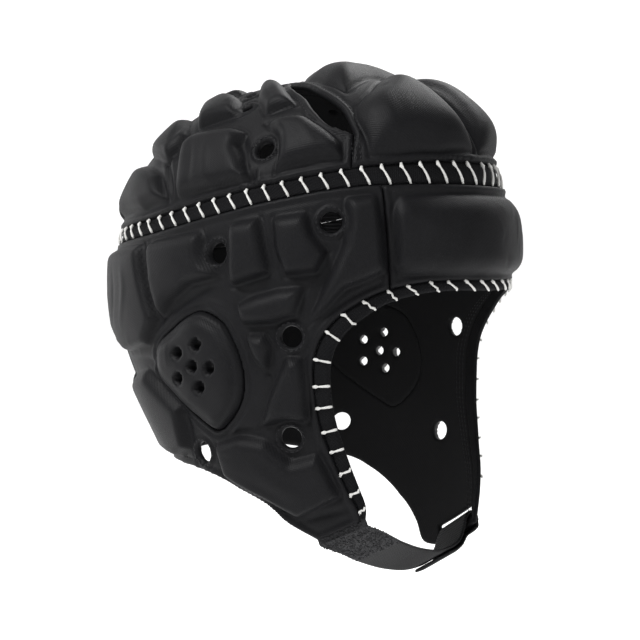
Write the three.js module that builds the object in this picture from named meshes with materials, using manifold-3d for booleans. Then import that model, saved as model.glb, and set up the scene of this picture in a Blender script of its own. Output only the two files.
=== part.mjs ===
// Padded rugby scrum cap: stretched fabric panels with blocks of foam, laced along a recessed tape.
// Millimetres, +Z up. The wearer looks along -Y and +X is the wearer's left side.
// The origin is the top of the hollow, where the crown sits on a head.
import * as THREE from "three";
import { mergeVertices } from "three/addons/utils/BufferGeometryUtils.js";
import Module from "manifold-3d";

const manifoldLibrary = await Module();
manifoldLibrary.setup();

// The hollow, from the widest level upwards and downwards
const HEAD_HALF_WIDTH = 79;
const FOREHEAD_REACH = 92;
const NAPE_REACH = 115;
const CROWN_HEIGHT = 97;
const CHEEK_DROP = 141.5;

// Fabric and foam
const PANEL_WALL = 3.4;
const PAD_RISE = 5.6;
const FRONT_CROWN_RISE = 9;
const EAR_COVER_RISE = 4.6;
const PAD_SHOULDER = 3;
const PAD_CORNER = 5;
const PAD_ROOT = 0.6;
const SEAM_GAP = 0.35;

// Tapes along the seam and the face opening
const SEAM_TAPE_WIDTH = 12;
const SEAM_TAPE_THICKNESS = 2.4;
const BINDING_WIDTH = 8;
const BINDING_THICKNESS = 2.8;

// Holes through the panels
const VENT_DIAMETER = 10;
const CROWN_VENT_DIAMETER = 9;
const SMALL_VENT_DIAMETER = 5;
const EAR_HOLE_DIAMETER = 5.2;

// Chin strap
const LOOP_TAPE_WIDTH = 25;
const LOOP_TAPE_THICKNESS = 2.6;
const LOOP_TAPE_SHARE = 0.3;
const ELASTIC_WIDTH = 25;
const ELASTIC_THICKNESS = 1.8;
const STRAP_CLEARANCE = 0.6;
const STRAP_STEP = 5;
const CHIN_SAG = 17;
const SLOT_LENGTH = 27.5;
const SLOT_HEIGHT = 5.6;
const SLOT_LIP = 3.6;
const FOLDED_TAIL_LENGTH = 34;

// A place on the cap is an angle and a level, both in degrees. The angle runs round the head from the
// middle of the forehead, and the level runs down from the top of the crown, 90 where it is widest.
const FULL_TURN = 360;
const WIDEST_LEVEL = 90;
const MM_PER_DEGREE = THREE.MathUtils.degToRad(HEAD_HALF_WIDTH);
const EDGE_STEP = 8;
const FACET_DEPARTURE = 0.5;
const SLOPE_STEP = 0.1;
const CORNER_SHARE = 1 / 3;
const SHARPEST_MITRE = 0.5;

// Roundness of the crown's profile: 1 is elliptic, and less is squarer
const FRONT_ROUNDNESS = 0.71;
const BACK_ROUNDNESS = 0.9;
const REAR_CORNER_FULLNESS = 0.04;
const REAR_CORNER_LEVELS = { full: 95, none: 140 };

// Below the widest level, as shares of the sizes there: level, width, front, back
const CHEEK_SECTIONS = [
  { level: 90, width: 1, front: 1, back: 1 },
  { level: 105, width: 1.01, front: 1, back: 0.975 },
  { level: 120, width: 1, front: 0.99, back: 0.89 },
  { level: 135, width: 0.97, front: 0.965, back: 0.76 },
  { level: 150, width: 0.93, front: 0.94, back: 0.63 },
  { level: 165, width: 0.87, front: 0.91, back: 0.5 },
  { level: 180, width: 0.79, front: 0.86, back: 0.38 },
  { level: 195, width: 0.7, front: 0.8, back: 0.27 },
];

// Middle of the seam tape, and its width there as a share of the full width: angle, level, width
const SEAM_ROWS = [
  [0, 61, 0.95],
  [22, 61, 0.93],
  [36, 61.5, 0.85],
  [48, 62, 0.78],
  [60, 63.2, 0.7],
  [72, 65, 0.68],
  [85, 67, 0.7],
  [98, 69.7, 0.7],
  [110, 72.5, 0.67],
  [123, 75, 0.63],
  [141, 77, 0.6],
  [160, 78.2, 0.6],
  [180, 78.6, 0.6],
];

// Free edge of the face opening, from the forehead to the jaw, and the binding's share of its width
const FACE_EDGE_ROWS = [
  [0, 93, 0.62],
  [10, 92.9, 0.62],
  [18, 92.8, 0.62],
  [28, 93.3, 0.64],
  [34.6, 94.4, 0.68],
  [39.5, 95.7, 0.74],
  [44, 97.5, 0.82],
  [49.3, 100.9, 0.92],
  [53, 103.9, 0.97],
  [55.5, 106.7, 1],
  [57.6, 110.2, 1],
  [58.8, 115.5, 1],
  [58.7, 121, 0.98],
  [58.1, 126.5, 0.96],
  [56.9, 132.3, 0.92],
  [54.8, 138.6, 0.84],
  [52.4, 145.3, 0.76],
];
const RIGHT_JAW_ROWS = [
  [49.8, 151.7, 0.66],
  [48, 156.6, 0.5],
  [48.2, 161, 0.3],
];
const LEFT_JAW_ROWS = [
  [49.4, 151.7, 0.66],
  [47.6, 158, 0.52],
  [46.4, 165, 0.4],
  [45.6, 169.7, 0.3],
];

// Lower edge from the middle of the nape to the end of the flap: angle, level
const RIGHT_BOTTOM_ROWS = [
  [180, 146],
  [146, 147],
  [120, 147],
  [102, 149],
  [89, 153],
  [80, 157],
  [74, 162],
  [64, 167],
];
const LEFT_BOTTOM_ROWS = [
  [180, 146],
  [146, 147.5],
  [118, 152],
  [107, 156],
  [98, 160.5],
  [88, 166.5],
  [81, 173],
  [75.5, 179.4],
  [65, 179.4],
];

// Angles where one panel meets the next
const TEMPLE_SEAM = { top: 43, bottom: 41.4 };
const BACK_SEAM_ANGLE = 146.5;

// Crown: the slit between the front and the rear crown panel, and the seam over the top
const CROWN_SEAM_FOOT = 52.4;
const SLIT_FRONT_ROWS = [
  [50.4, 50],
  [53, 42],
  [56, 38],
  [64, 31],
  [80, 21],
  [105, 15],
];
const SLIT_REAR_ROWS = [
  [50.4, 50],
  [55, 48.2],
  [60, 46],
  [66, 40],
  [75, 31],
  [105, 15],
];
const TOP_SEAM_ROWS = [
  [105, 15],
  [137, 12],
  [180, 11],
];

// Outlines of the foam blocks: corners as angle, level on one side of the head
const FRONT_CROWN_PAD = [
  [48, 41], [38, 34], [22, 25], [6, 21], [3, 30], [1.7, 55.5], [21, 56], [36, 56.3], [46, 56.8], [46.5, 52],
  [49, 46],
];
const TOP_PAD_HALF = [
  [180, 8], [90, 13], [62, 24], [50, 32.5], [37, 25.5], [0, 18],
];
const REAR_CROWN_PADS = [
  [[113.5, 67.5], [121.5, 59.5], [145, 56], [145, 72], [124, 70]],
  [[149, 56], [177, 56], [177, 74], [149, 73]],
  [[121.5, 56], [119.5, 51], [120.5, 46.5], [142, 38], [145, 43], [145, 53]],
  [[149, 39], [176, 39], [177, 53], [149, 53]],
  [[100, 40], [111, 31.5], [137, 26], [140, 35], [118, 44.5]],
  [[145, 23], [172, 22], [175, 35.5], [149, 35.5]],
  [[110, 67], [118, 51], [116, 47], [98, 45.5], [92, 47.5], [93, 52], [88, 58.5], [85, 63], [97, 65]],
  [[86, 44.5], [69, 43], [60, 48.5], [55, 53], [55, 57.5], [68, 59], [77.5, 61], [76.5, 56], [78, 50.5]],
  [[98, 34], [124, 21], [110, 17.5], [88, 27], [74, 38], [88, 41]],
];
const FOREHEAD_PAD_HALF = [
  [0, 66.8], [20, 66.8], [38, 67.6], [40.5, 71], [40.5, 80], [40, 86], [37, 88.2], [20, 88.4], [0, 88.4],
];
const SIDE_PADS = [
  [[54, 68], [45, 67.5], [44, 78], [43.4, 87], [55, 91.5], [60, 97], [65, 103], [61, 92.5], [55, 80]],
  [[76, 73], [66, 72], [64.5, 77.5], [60, 82], [63, 87], [72, 88], [75, 80]],
  [[90, 74.5], [81, 73], [77, 87.5], [89, 91], [90.5, 82]],
  [[118, 79.5], [99, 76.5], [98, 82], [93.5, 88.5], [102, 90.5], [108, 95.5], [112, 101.5], [115, 93]],
  [[144.5, 81.5], [121, 79.8], [117, 93], [114, 102], [119, 109.5], [134, 112], [144.5, 105]],
  [[87, 97], [81, 94.5], [74, 92.5], [66.5, 91.5], [69.5, 100], [76, 102], [85, 102.5]],
  [[84, 105.5], [78, 105.5], [76, 109], [77.5, 117], [81, 112.5]],
  [[71, 111.5], [67, 112.5], [66, 121], [66, 131], [71, 130], [80, 133], [76, 123]],
  [
    [97, 139], [88, 136], [79, 137], [71, 143], [63, 140.5], [56.5, 153], [70, 159.5], [80, 154.5],
    [95, 148.5],
  ],
];
const RIGHT_NAPE_PAD = [
  [143, 121], [124, 118], [110.5, 128.5], [111.5, 141], [120, 144], [138, 142.5], [142, 132],
];
const LEFT_NAPE_PAD = [
  [143, 121], [126, 118], [121, 127], [123, 136], [126, 145], [138, 143], [142, 132],
];
const BACK_PADS = [
  [[149, 82.5], [177, 83.5], [177, 112], [149, 112]],
  [[149, 119], [177, 119], [177, 141], [149, 141]],
];
const EAR_COVER = [
  [115, 110], [109, 105], [100, 99.5], [93, 102], [90, 106], [86.5, 113], [85.5, 121], [88, 128], [95, 134.5],
  [101, 132.5], [110, 126.5], [117, 119],
];

// Holes: angle, level
const EAR_HOLES = [
  [105.6, 111.7], [98.9, 109], [100.6, 115.5], [95, 115.8], [106.2, 119.3], [98.8, 121.6],
];
const SHARED_VENTS = [
  [70.3, 106.2], [58.8, 74.1], [94, 82.2],
];
const RIGHT_VENTS = [
  [71, 136], [105, 142.2],
];
const LEFT_VENTS = [
  [75, 142], [117, 140.5],
];
const CROWN_VENT = [82.5, 53.4];
const SMALL_CROWN_VENTS = [
  [133, 24], [112.5, 27.6], [101, 36.3],
];

// Slot in the left flap: its middle, and its slope as levels gained for each degree of angle
const SLOT_MIDDLE = [58.8, 170.8];
const SLOT_SLOPE = 0.5;

// Middle line of the strap below the straight line from the right flap to the slot: share of the way
// across, and share of the sag
const STRAP_ROWS = [
  { across: 0.15, sag: 0.35 },
  { across: 0.32, sag: 0.68 },
  { across: 0.52, sag: 0.95 },
  { across: 0.72, sag: 1.04 },
  { across: 0.9, sag: 0.8 },
];
const STRAP_LEAN = 35;

const RIGHT = -1;
const LEFT = 1;

// Value of a table's column between its rows, on a smooth curve through them
function smoothValue(rows, keyColumn, valueColumn, key) {
  const slopes = rows.map((row, i) => {
    const before = rows[Math.max(i - 1, 0)];
    const after = rows[Math.min(i + 1, rows.length - 1)];
    const atEnd = i === 0 || i === rows.length - 1;
    return atEnd ? 0 : (after[valueColumn] - before[valueColumn]) / (after[keyColumn] - before[keyColumn]);
  });
  let i = 0;
  while (i < rows.length - 2 && key > rows[i + 1][keyColumn]) {
    i += 1;
  }
  const span = rows[i + 1][keyColumn] - rows[i][keyColumn];
  const t = THREE.MathUtils.clamp((key - rows[i][keyColumn]) / span, 0, 1);
  const rise = rows[i + 1][valueColumn] - rows[i][valueColumn];
  const bend = t * t * (3 - 2 * t);
  return rows[i][valueColumn] + rise * bend
    + span * (slopes[i] * (t ** 3 - 2 * t * t + t) + slopes[i + 1] * (t ** 3 - t * t));
}

// Point of the hollow's surface
function formPoint(angle, level) {
  const turn = THREE.MathUtils.degToRad(angle);
  const aheadness = (1 + Math.cos(turn)) / 2;
  const reach = Math.cos(turn) > 0 ? FOREHEAD_REACH : NAPE_REACH;
  let widthShare;
  let reachShare;
  let height;
  if (level <= WIDEST_LEVEL) {
    const roundness = BACK_ROUNDNESS + (FRONT_ROUNDNESS - BACK_ROUNDNESS) * aheadness ** 2;
    const power = 2 / roundness;
    const tilt = THREE.MathUtils.degToRad(level);
    const sine = Math.sin(tilt);
    const cosine = Math.max(Math.cos(tilt), 0);
    const radius = (sine ** power + cosine ** power) ** (-1 / power);
    widthShare = radius * sine;
    reachShare = widthShare;
    height = CROWN_HEIGHT * (radius * cosine - 1);
  } else {
    widthShare = smoothValue(CHEEK_SECTIONS, "level", "width", level);
    reachShare = smoothValue(CHEEK_SECTIONS, "level", Math.cos(turn) > 0 ? "front" : "back", level);
    height = -CROWN_HEIGHT - CHEEK_DROP * (level - WIDEST_LEVEL) / WIDEST_LEVEL;
  }
  const { full, none } = REAR_CORNER_LEVELS;
  const fade = THREE.MathUtils.clamp((none - level) / (none - full), 0, 1);
  const behind = Math.cos(turn) < 0 ? 1 : 0;
  const fuller = 1 + REAR_CORNER_FULLNESS * fade * behind * Math.sin(2 * turn) ** 2;
  return new THREE.Vector3(
    HEAD_HALF_WIDTH * widthShare * Math.sin(turn) * fuller,
    -reach * reachShare * Math.cos(turn) * fuller,
    height,
  );
}

// Two flat charts of the surface, in degrees. The wall chart suits the sides. The crown chart looks down
// on the head, so it is whole at the top.
const wallChart = {
  flat: (angle, level) => new THREE.Vector2(angle, -level),
  form: (x, y) => formPoint(x, -y),
};
const crownChart = {
  flat: (angle, level) => {
    const turn = THREE.MathUtils.degToRad(angle);
    return new THREE.Vector2(level * Math.sin(turn), -level * Math.cos(turn));
  },
  form: (x, y) => formPoint(THREE.MathUtils.radToDeg(Math.atan2(x, -y)), Math.hypot(x, y)),
};

// Steps of the surface along a chart's two directions, in mm for each degree
function chartSteps(chart, x, y) {
  const step = SLOPE_STEP;
  const across = chart.form(x + step, y).sub(chart.form(x - step, y)).divideScalar(2 * step);
  const along = chart.form(x, y + step).sub(chart.form(x, y - step)).divideScalar(2 * step);
  return { across, along };
}

// Point of a chart, bent onto the head, where z is its lift off the hollow's surface
function skinPoint(chart, { x, y, z }) {
  const { across, along } = chartSteps(chart, x, y);
  return chart.form(x, y).addScaledVector(across.cross(along).normalize(), z);
}

// Chart outline from rows of angle and level, on one side of the head
function flatRows(rows, chart, side = LEFT) {
  return rows.map(([angle, level]) => chart.flat(angle * side, level));
}

// Rows followed by their mirror images, for an outline that crosses the middle of the head
function bothSides(halfRows) {
  const offMiddle = halfRows.filter(([angle]) => angle > 0 && angle < 180);
  return [...halfRows, ...offMiddle.reverse().map(([angle, level]) => [-angle, level])];
}

// Smooth open line through rows, in steps that match the neighbouring panels
function smoothRows(rows) {
  const corners = rows.map(([angle, level, share]) => new THREE.Vector3(angle, level, share ?? 0));
  const curve = new THREE.CatmullRomCurve3(corners);
  const count = Math.max(2, Math.ceil(curve.getLength() / EDGE_STEP));
  return curve.getPoints(count).map((p) => [p.x, p.y, p.z]);
}

// Outline grown by a distance along its own plane, or shrunk by a negative one
function grown(points, distance) {
  const turn = THREE.ShapeUtils.isClockWise(points) ? -1 : 1;
  return points.map((point, i) => {
    const before = points[(i + points.length - 1) % points.length];
    const after = points[(i + 1) % points.length];
    const incoming = point.clone().sub(before).normalize();
    const outgoing = after.clone().sub(point).normalize();
    const normal = new THREE.Vector2(incoming.y + outgoing.y, -incoming.x - outgoing.x).normalize();
    const facing = Math.max(normal.dot(new THREE.Vector2(incoming.y, -incoming.x)), SHARPEST_MITRE);
    return point.clone().addScaledVector(normal, (turn * distance) / facing);
  });
}

// Outline with each corner cut off
function chamfered(points, radius) {
  return points.flatMap((corner, i) => {
    const before = points[(i + points.length - 1) % points.length];
    const after = points[(i + 1) % points.length];
    const back = Math.min(radius, before.distanceTo(corner) * CORNER_SHARE);
    const ahead = Math.min(radius, after.distanceTo(corner) * CORNER_SHARE);
    const start = corner.clone().lerp(before, back / before.distanceTo(corner));
    const end = corner.clone().lerp(after, ahead / after.distanceTo(corner));
    return [start, end];
  });
}

// True circle on the cap's surface, as a chart outline
function circleOutline(chart, [angle, level], diameter, side, sides = 8) {
  const centre = chart.flat(angle * side, level);
  const { across, along } = chartSteps(chart, centre.x, centre.y);
  return Array.from({ length: sides }, (_, i) => {
    const turn = (2 * Math.PI * i) / sides;
    const x = centre.x + (diameter / 2) * (Math.cos(turn) / across.length());
    const y = centre.y + (diameter / 2) * (Math.sin(turn) / along.length());
    return new THREE.Vector2(x, y);
  });
}

function toSolid(geometry) {
  const bare = geometry.clone();
  bare.deleteAttribute("normal");
  bare.deleteAttribute("uv");
  const merged = mergeVertices(bare);
  return new manifoldLibrary.Manifold(new manifoldLibrary.Mesh({
    numProp: 3,
    vertProperties: new Float32Array(merged.attributes.position.array),
    triVerts: new Uint32Array(merged.index.array),
  }));
}

function toGeometry(solid) {
  const mesh = solid.getMesh();
  const geometry = new THREE.BufferGeometry();
  geometry.setAttribute("position", new THREE.BufferAttribute(new Float32Array(mesh.vertProperties), 3));
  geometry.setIndex(new THREE.BufferAttribute(new Uint32Array(mesh.triVerts), 1));
  return geometry;
}

// Flat slab between two heights, with an outline in a chart
function slab(points, bottom, top, holes = []) {
  const shape = new THREE.Shape(points);
  shape.holes = holes.map((hole) => new THREE.Path(hole));
  const geometry = new THREE.ExtrudeGeometry(shape, { depth: top - bottom, bevelEnabled: false });
  geometry.translate(0, 0, bottom);
  return geometry;
}

// Closed solid through outlines that all have the same number of points, each at its own height
function loft(outlines, heights) {
  const count = outlines[0].length;
  const clockwise = THREE.ShapeUtils.isClockWise(outlines[0]);
  const ordered = outlines.map((points) => (clockwise ? [...points].reverse() : points));
  const vertices = ordered.flatMap((points, level) => points.flatMap((p) => [p.x, p.y, heights[level]]));
  const faces = [];
  const last = (outlines.length - 1) * count;
  for (const [i, j, k] of THREE.ShapeUtils.triangulateShape(ordered[0], [])) {
    faces.push(k, j, i, last + i, last + j, last + k);
  }
  for (let level = 0; level < outlines.length - 1; level += 1) {
    for (let i = 0; i < count; i += 1) {
      const here = level * count + i;
      const next = level * count + ((i + 1) % count);
      faces.push(here, next, next + count, here, next + count, here + count);
    }
  }
  const geometry = new THREE.BufferGeometry();
  geometry.setAttribute("position", new THREE.Float32BufferAttribute(vertices, 3));
  geometry.setIndex(faces);
  return geometry;
}

// Foam block under the fabric: its foot is rooted in the wall, and its shoulders lean in to a flat top
function foamBlock(points, rise) {
  const foot = chamfered(points, PAD_CORNER / MM_PER_DEGREE);
  const inner = grown(points, -PAD_SHOULDER / MM_PER_DEGREE);
  const top = chamfered(inner, (PAD_CORNER - PAD_SHOULDER) / MM_PER_DEGREE);
  return toSolid(loft([foot, top], [PANEL_WALL * PAD_ROOT, PANEL_WALL + rise]));
}

const edgeKey = (i, j) => (i < j ? `${i} ${j}` : `${j} ${i}`);

// Angle at a corner of a facet, between the directions to the other two
function cornerAngle(at, one, other) {
  return one.clone().sub(at).angleTo(other.clone().sub(at));
}

// Swaps the shared edge of two facets that lie in one plane wherever that makes them less narrow
function relaxed(points, triangles) {
  const normalOf = ([a, b, c]) => {
    const side = points[b].clone().sub(points[a]);
    return side.cross(points[c].clone().sub(points[a])).normalize();
  };
  const facets = [];
  for (let t = 0; t < triangles.length; t += 3) {
    facets.push(triangles.slice(t, t + 3));
  }
  let swapped = true;
  while (swapped) {
    swapped = false;
    const owners = new Map();
    facets.forEach((facet, index) => {
      facet.forEach((corner, k) => {
        const key = edgeKey(corner, facet[(k + 1) % 3]);
        owners.set(key, [...(owners.get(key) ?? []), [index, k]]);
      });
    });
    const normals = facets.map(normalOf);
    const touched = new Set();
    for (const [[first, k], [second, m]] of [...owners.values()]) {
      const free = !touched.has(first) && !touched.has(second);
      if (!free || normals[first].dot(normals[second]) < 1 - 1e-9) {
        continue;
      }
      const start = facets[first][k];
      const end = facets[first][(k + 1) % 3];
      const far = facets[first][(k + 2) % 3];
      const opposite = facets[second][(m + 2) % 3];
      const turn = cornerAngle(points[far], points[start], points[end])
        + cornerAngle(points[opposite], points[start], points[end]);
      if (turn > Math.PI + 1e-6 && !owners.has(edgeKey(far, opposite))) {
        facets[first] = [far, start, opposite];
        facets[second] = [opposite, end, far];
        owners.set(edgeKey(far, opposite), []);
        touched.add(first).add(second);
        swapped = true;
      }
    }
  }
  return facets.flat();
}

// Halves every edge that would cut a corner off the bent surface, until none does. Facets that share an
// edge halve it alike, so the solid stays closed.
function divided(geometry, chart) {
  const points = Array.from({ length: geometry.attributes.position.count }, (_, i) => (
    new THREE.Vector3().fromBufferAttribute(geometry.attributes.position, i)
  ));
  let triangles = relaxed(points, [...geometry.index.array]);
  let changed = true;
  while (changed) {
    changed = false;
    const middles = new Map();
    const middleOf = (i, j) => {
      const key = edgeKey(i, j);
      if (!middles.has(key)) {
        const middle = points[i].clone().lerp(points[j], 0.5);
        const ends = skinPoint(chart, points[i]).lerp(skinPoint(chart, points[j]), 0.5);
        const departs = skinPoint(chart, middle).distanceTo(ends) > FACET_DEPARTURE;
        middles.set(key, departs ? points.push(middle) - 1 : -1);
      }
      return middles.get(key);
    };
    const next = [];
    for (let t = 0; t < triangles.length; t += 3) {
      let corners = triangles.slice(t, t + 3);
      let halves = corners.map((corner, k) => middleOf(corner, corners[(k + 1) % 3]));
      const count = halves.filter((half) => half >= 0).length;
      changed = changed || count > 0;
      while (count > 0 && (halves[0] < 0 || (count === 2 && halves[2] >= 0))) {
        corners = [corners[1], corners[2], corners[0]];
        halves = [halves[1], halves[2], halves[0]];
      }
      const [a, b, c] = corners;
      const [ab, bc, ca] = halves;
      if (count === 0) {
        next.push(a, b, c);
      } else if (count === 1) {
        next.push(a, ab, c, ab, b, c);
      } else if (count === 2) {
        next.push(ab, b, bc, a, ab, bc, a, bc, c);
      } else {
        next.push(a, ab, ca, ab, b, bc, ca, bc, c, ab, bc, ca);
      }
    }
    triangles = changed ? relaxed(points, next) : next;
  }
  const result = new THREE.BufferGeometry().setFromPoints(points);
  result.setIndex(triangles);
  return result;
}

// Flat panel bent onto the head
function bent(geometry, chart) {
  const bare = geometry.clone();
  bare.deleteAttribute("normal");
  bare.deleteAttribute("uv");
  const fine = divided(mergeVertices(bare), chart);
  const position = fine.attributes.position;
  for (let i = 0; i < position.count; i += 1) {
    const point = skinPoint(chart, new THREE.Vector3().fromBufferAttribute(position, i));
    position.setXYZ(i, point.x, point.y, point.z);
  }
  fine.computeVertexNormals();
  return fine;
}

// Quilted panel: a wall with foam blocks on it and holes through it
function quiltedPanel({ chart, outline, blocks = [], cuts = [] }) {
  let solid = toSolid(slab(grown(outline, -SEAM_GAP / 2 / MM_PER_DEGREE), 0, PANEL_WALL));
  for (const block of blocks) {
    solid = solid.add(block);
  }
  const highest = PANEL_WALL + 2 * FRONT_CROWN_RISE;
  for (const cut of cuts) {
    solid = solid.subtract(toSolid(slab(cut, -PANEL_WALL, highest)));
  }
  return bent(toGeometry(solid), chart);
}

// Level of the seam tape's upper or lower edge
function seamEdge(angle, below) {
  const level = smoothValue(SEAM_ROWS, 0, 1, Math.abs(angle));
  const width = smoothValue(SEAM_ROWS, 0, 2, Math.abs(angle)) * SEAM_TAPE_WIDTH;
  const mmPerLevel = chartSteps(wallChart, angle, -level).along.length();
  return level + ((below ? 1 : -1) * width) / 2 / mmPerLevel;
}

// Row of seam points between two angles, at the same angles on every piece that meets the seam
function seamRows(from, to, below) {
  const inside = [];
  for (let angle = -FULL_TURN; angle <= FULL_TURN; angle += EDGE_STEP) {
    if (angle > Math.min(from, to) + 1 && angle < Math.max(from, to) - 1) {
      inside.push(angle);
    }
  }
  if (from > to) {
    inside.reverse();
  }
  const wrap = (angle) => (angle > FULL_TURN / 2 ? angle - FULL_TURN : angle);
  return [from, ...inside, to].map((angle) => [angle, seamEdge(wrap(angle), below)]);
}

// Fold line where the panels end and the binding starts, beside the free edge of the face opening
function foldRows(edgeRows) {
  return edgeRows.map(([angle, level, share], i) => {
    const before = edgeRows[Math.max(i - 1, 0)];
    const after = edgeRows[Math.min(i + 1, edgeRows.length - 1)];
    const { across, along } = chartSteps(wallChart, angle, -level);
    const scale = new THREE.Vector2(across.length(), along.length());
    const run = new THREE.Vector2(after[0] - before[0], after[1] - before[1]).multiply(scale).normalize();
    const width = share * BINDING_WIDTH;
    return [angle + (run.y * width) / scale.x, level - (run.x * width) / scale.y];
  });
}

const rightFreeEdge = smoothRows([...FACE_EDGE_ROWS, ...RIGHT_JAW_ROWS]);
const leftFreeEdge = smoothRows([...FACE_EDGE_ROWS, ...LEFT_JAW_ROWS]);
const rightFold = foldRows(rightFreeEdge);
const leftFold = foldRows(leftFreeEdge);

function crownFront() {
  const top = [...smoothRows(SLIT_FRONT_ROWS), ...smoothRows(TOP_SEAM_ROWS).slice(1)];
  const foot = CROWN_SEAM_FOOT;
  const half = [...top].reverse();
  const outline = [
    ...flatRows(half, crownChart, RIGHT),
    ...flatRows(seamRows(-foot, foot, false), crownChart),
    ...flatRows(top, crownChart, LEFT).slice(0, -1),
  ];
  const padFeet = [RIGHT, LEFT].map((side) => flatRows(FRONT_CROWN_PAD, crownChart, side));
  const frontPads = padFeet.map((points) => foamBlock(points, FRONT_CROWN_RISE));
  const topPad = foamBlock(flatRows(bothSides(TOP_PAD_HALF), crownChart), FRONT_CROWN_RISE);
  return quiltedPanel({ chart: crownChart, outline, blocks: [...frontPads, topPad] });
}

function crownRear() {
  const top = [...smoothRows(SLIT_REAR_ROWS), ...smoothRows(TOP_SEAM_ROWS).slice(1)];
  const foot = CROWN_SEAM_FOOT;
  const outline = [
    ...flatRows(seamRows(foot, FULL_TURN - foot, false), crownChart),
    ...flatRows(top, crownChart, RIGHT),
    ...flatRows([...top].reverse().slice(1), crownChart, LEFT),
  ];
  const sides = [RIGHT, LEFT];
  const padFeet = sides.flatMap((side) => REAR_CROWN_PADS.map((pad) => flatRows(pad, crownChart, side)));
  const blocks = padFeet.map((points) => foamBlock(points, PAD_RISE));
  const cuts = sides.flatMap((side) => [
    circleOutline(crownChart, CROWN_VENT, CROWN_VENT_DIAMETER, side),
    ...SMALL_CROWN_VENTS.map((vent) => circleOutline(crownChart, vent, SMALL_VENT_DIAMETER, side, 6)),
  ]);
  return quiltedPanel({ chart: crownChart, outline, blocks, cuts });
}

function seamTape() {
  const inset = SEAM_GAP / 2 / MM_PER_DEGREE;
  const outer = flatRows(seamRows(-180, 180, true).slice(1), crownChart);
  const inner = flatRows(seamRows(-180, 180, false).slice(1), crownChart);
  return bent(slab(grown(outer, -inset), 0, SEAM_TAPE_THICKNESS, [grown(inner, inset)]), crownChart);
}

function templeSeamAngle(level) {
  const t = (level - SEAM_ROWS[0][1]) / (FACE_EDGE_ROWS[0][1] - SEAM_ROWS[0][1]);
  return TEMPLE_SEAM.top + (TEMPLE_SEAM.bottom - TEMPLE_SEAM.top) * t;
}

function foreheadPanel() {
  const corner = templeSeamAngle(WIDEST_LEVEL);
  const fold = rightFold.filter(([angle]) => angle < corner - 1);
  const foot = [corner, smoothValue(rightFold.slice(0, fold.length + 2), 0, 1, corner)];
  const half = [...fold, foot];
  const outline = [
    ...flatRows(seamRows(-TEMPLE_SEAM.top, TEMPLE_SEAM.top, true), wallChart),
    ...flatRows([...half].reverse(), wallChart, LEFT),
    ...flatRows(half.slice(1), wallChart, RIGHT),
  ];
  const pad = foamBlock(flatRows(bothSides(FOREHEAD_PAD_HALF), wallChart), PAD_RISE);
  return quiltedPanel({ chart: wallChart, outline, blocks: [pad] });
}

function sidePanel(side) {
  const fold = side === RIGHT ? rightFold : leftFold;
  const bottomRows = side === RIGHT ? RIGHT_BOTTOM_ROWS : LEFT_BOTTOM_ROWS;
  const corner = templeSeamAngle(WIDEST_LEVEL);
  const skipped = fold.filter(([angle], i) => angle < corner + 1 && i < fold.length / 2).length;
  const foot = [corner, smoothValue(fold.slice(0, skipped + 1), 0, 1, corner)];
  const bottom = smoothRows(bottomRows.slice(1));
  const outlineRows = [
    ...seamRows(TEMPLE_SEAM.top, BACK_SEAM_ANGLE, true),
    [BACK_SEAM_ANGLE, bottomRows[1][1]],
    ...bottom.slice(1),
    ...fold.slice(skipped).reverse(),
    foot,
  ];
  const napePad = side === RIGHT ? RIGHT_NAPE_PAD : LEFT_NAPE_PAD;
  const blocks = [...SIDE_PADS, napePad].map((pad) => foamBlock(flatRows(pad, wallChart, side), PAD_RISE));
  const vents = [...SHARED_VENTS, ...(side === RIGHT ? RIGHT_VENTS : LEFT_VENTS)];
  const cuts = vents.map((vent) => circleOutline(wallChart, vent, VENT_DIAMETER, side));
  cuts.push(grown(earCoverOutline(side), SEAM_GAP / 2 / MM_PER_DEGREE));
  if (side === LEFT) {
    cuts.push(slotOutline());
  }
  return quiltedPanel({ chart: wallChart, outline: flatRows(outlineRows, wallChart, side), blocks, cuts });
}

function backPanel() {
  const seam = BACK_SEAM_ANGLE;
  const outlineRows = [
    ...seamRows(seam, FULL_TURN - seam, true),
    [FULL_TURN - seam, RIGHT_BOTTOM_ROWS[1][1]],
    [180, RIGHT_BOTTOM_ROWS[0][1]],
    [seam, LEFT_BOTTOM_ROWS[1][1]],
  ];
  const mirrored = BACK_PADS.map((pad) => pad.map(([angle, level]) => [FULL_TURN - angle, level]));
  const blocks = [...BACK_PADS, ...mirrored].map((pad) => foamBlock(flatRows(pad, wallChart), PAD_RISE));
  return quiltedPanel({ chart: wallChart, outline: flatRows(outlineRows, wallChart), blocks });
}

function earCoverOutline(side) {
  const corners = flatRows(EAR_COVER, wallChart, side).map((p) => new THREE.Vector3(p.x, p.y, 0));
  const points = new THREE.CatmullRomCurve3(corners, true).getPoints(corners.length * 2);
  return points.slice(0, -1).map((p) => new THREE.Vector2(p.x, p.y));
}

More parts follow.
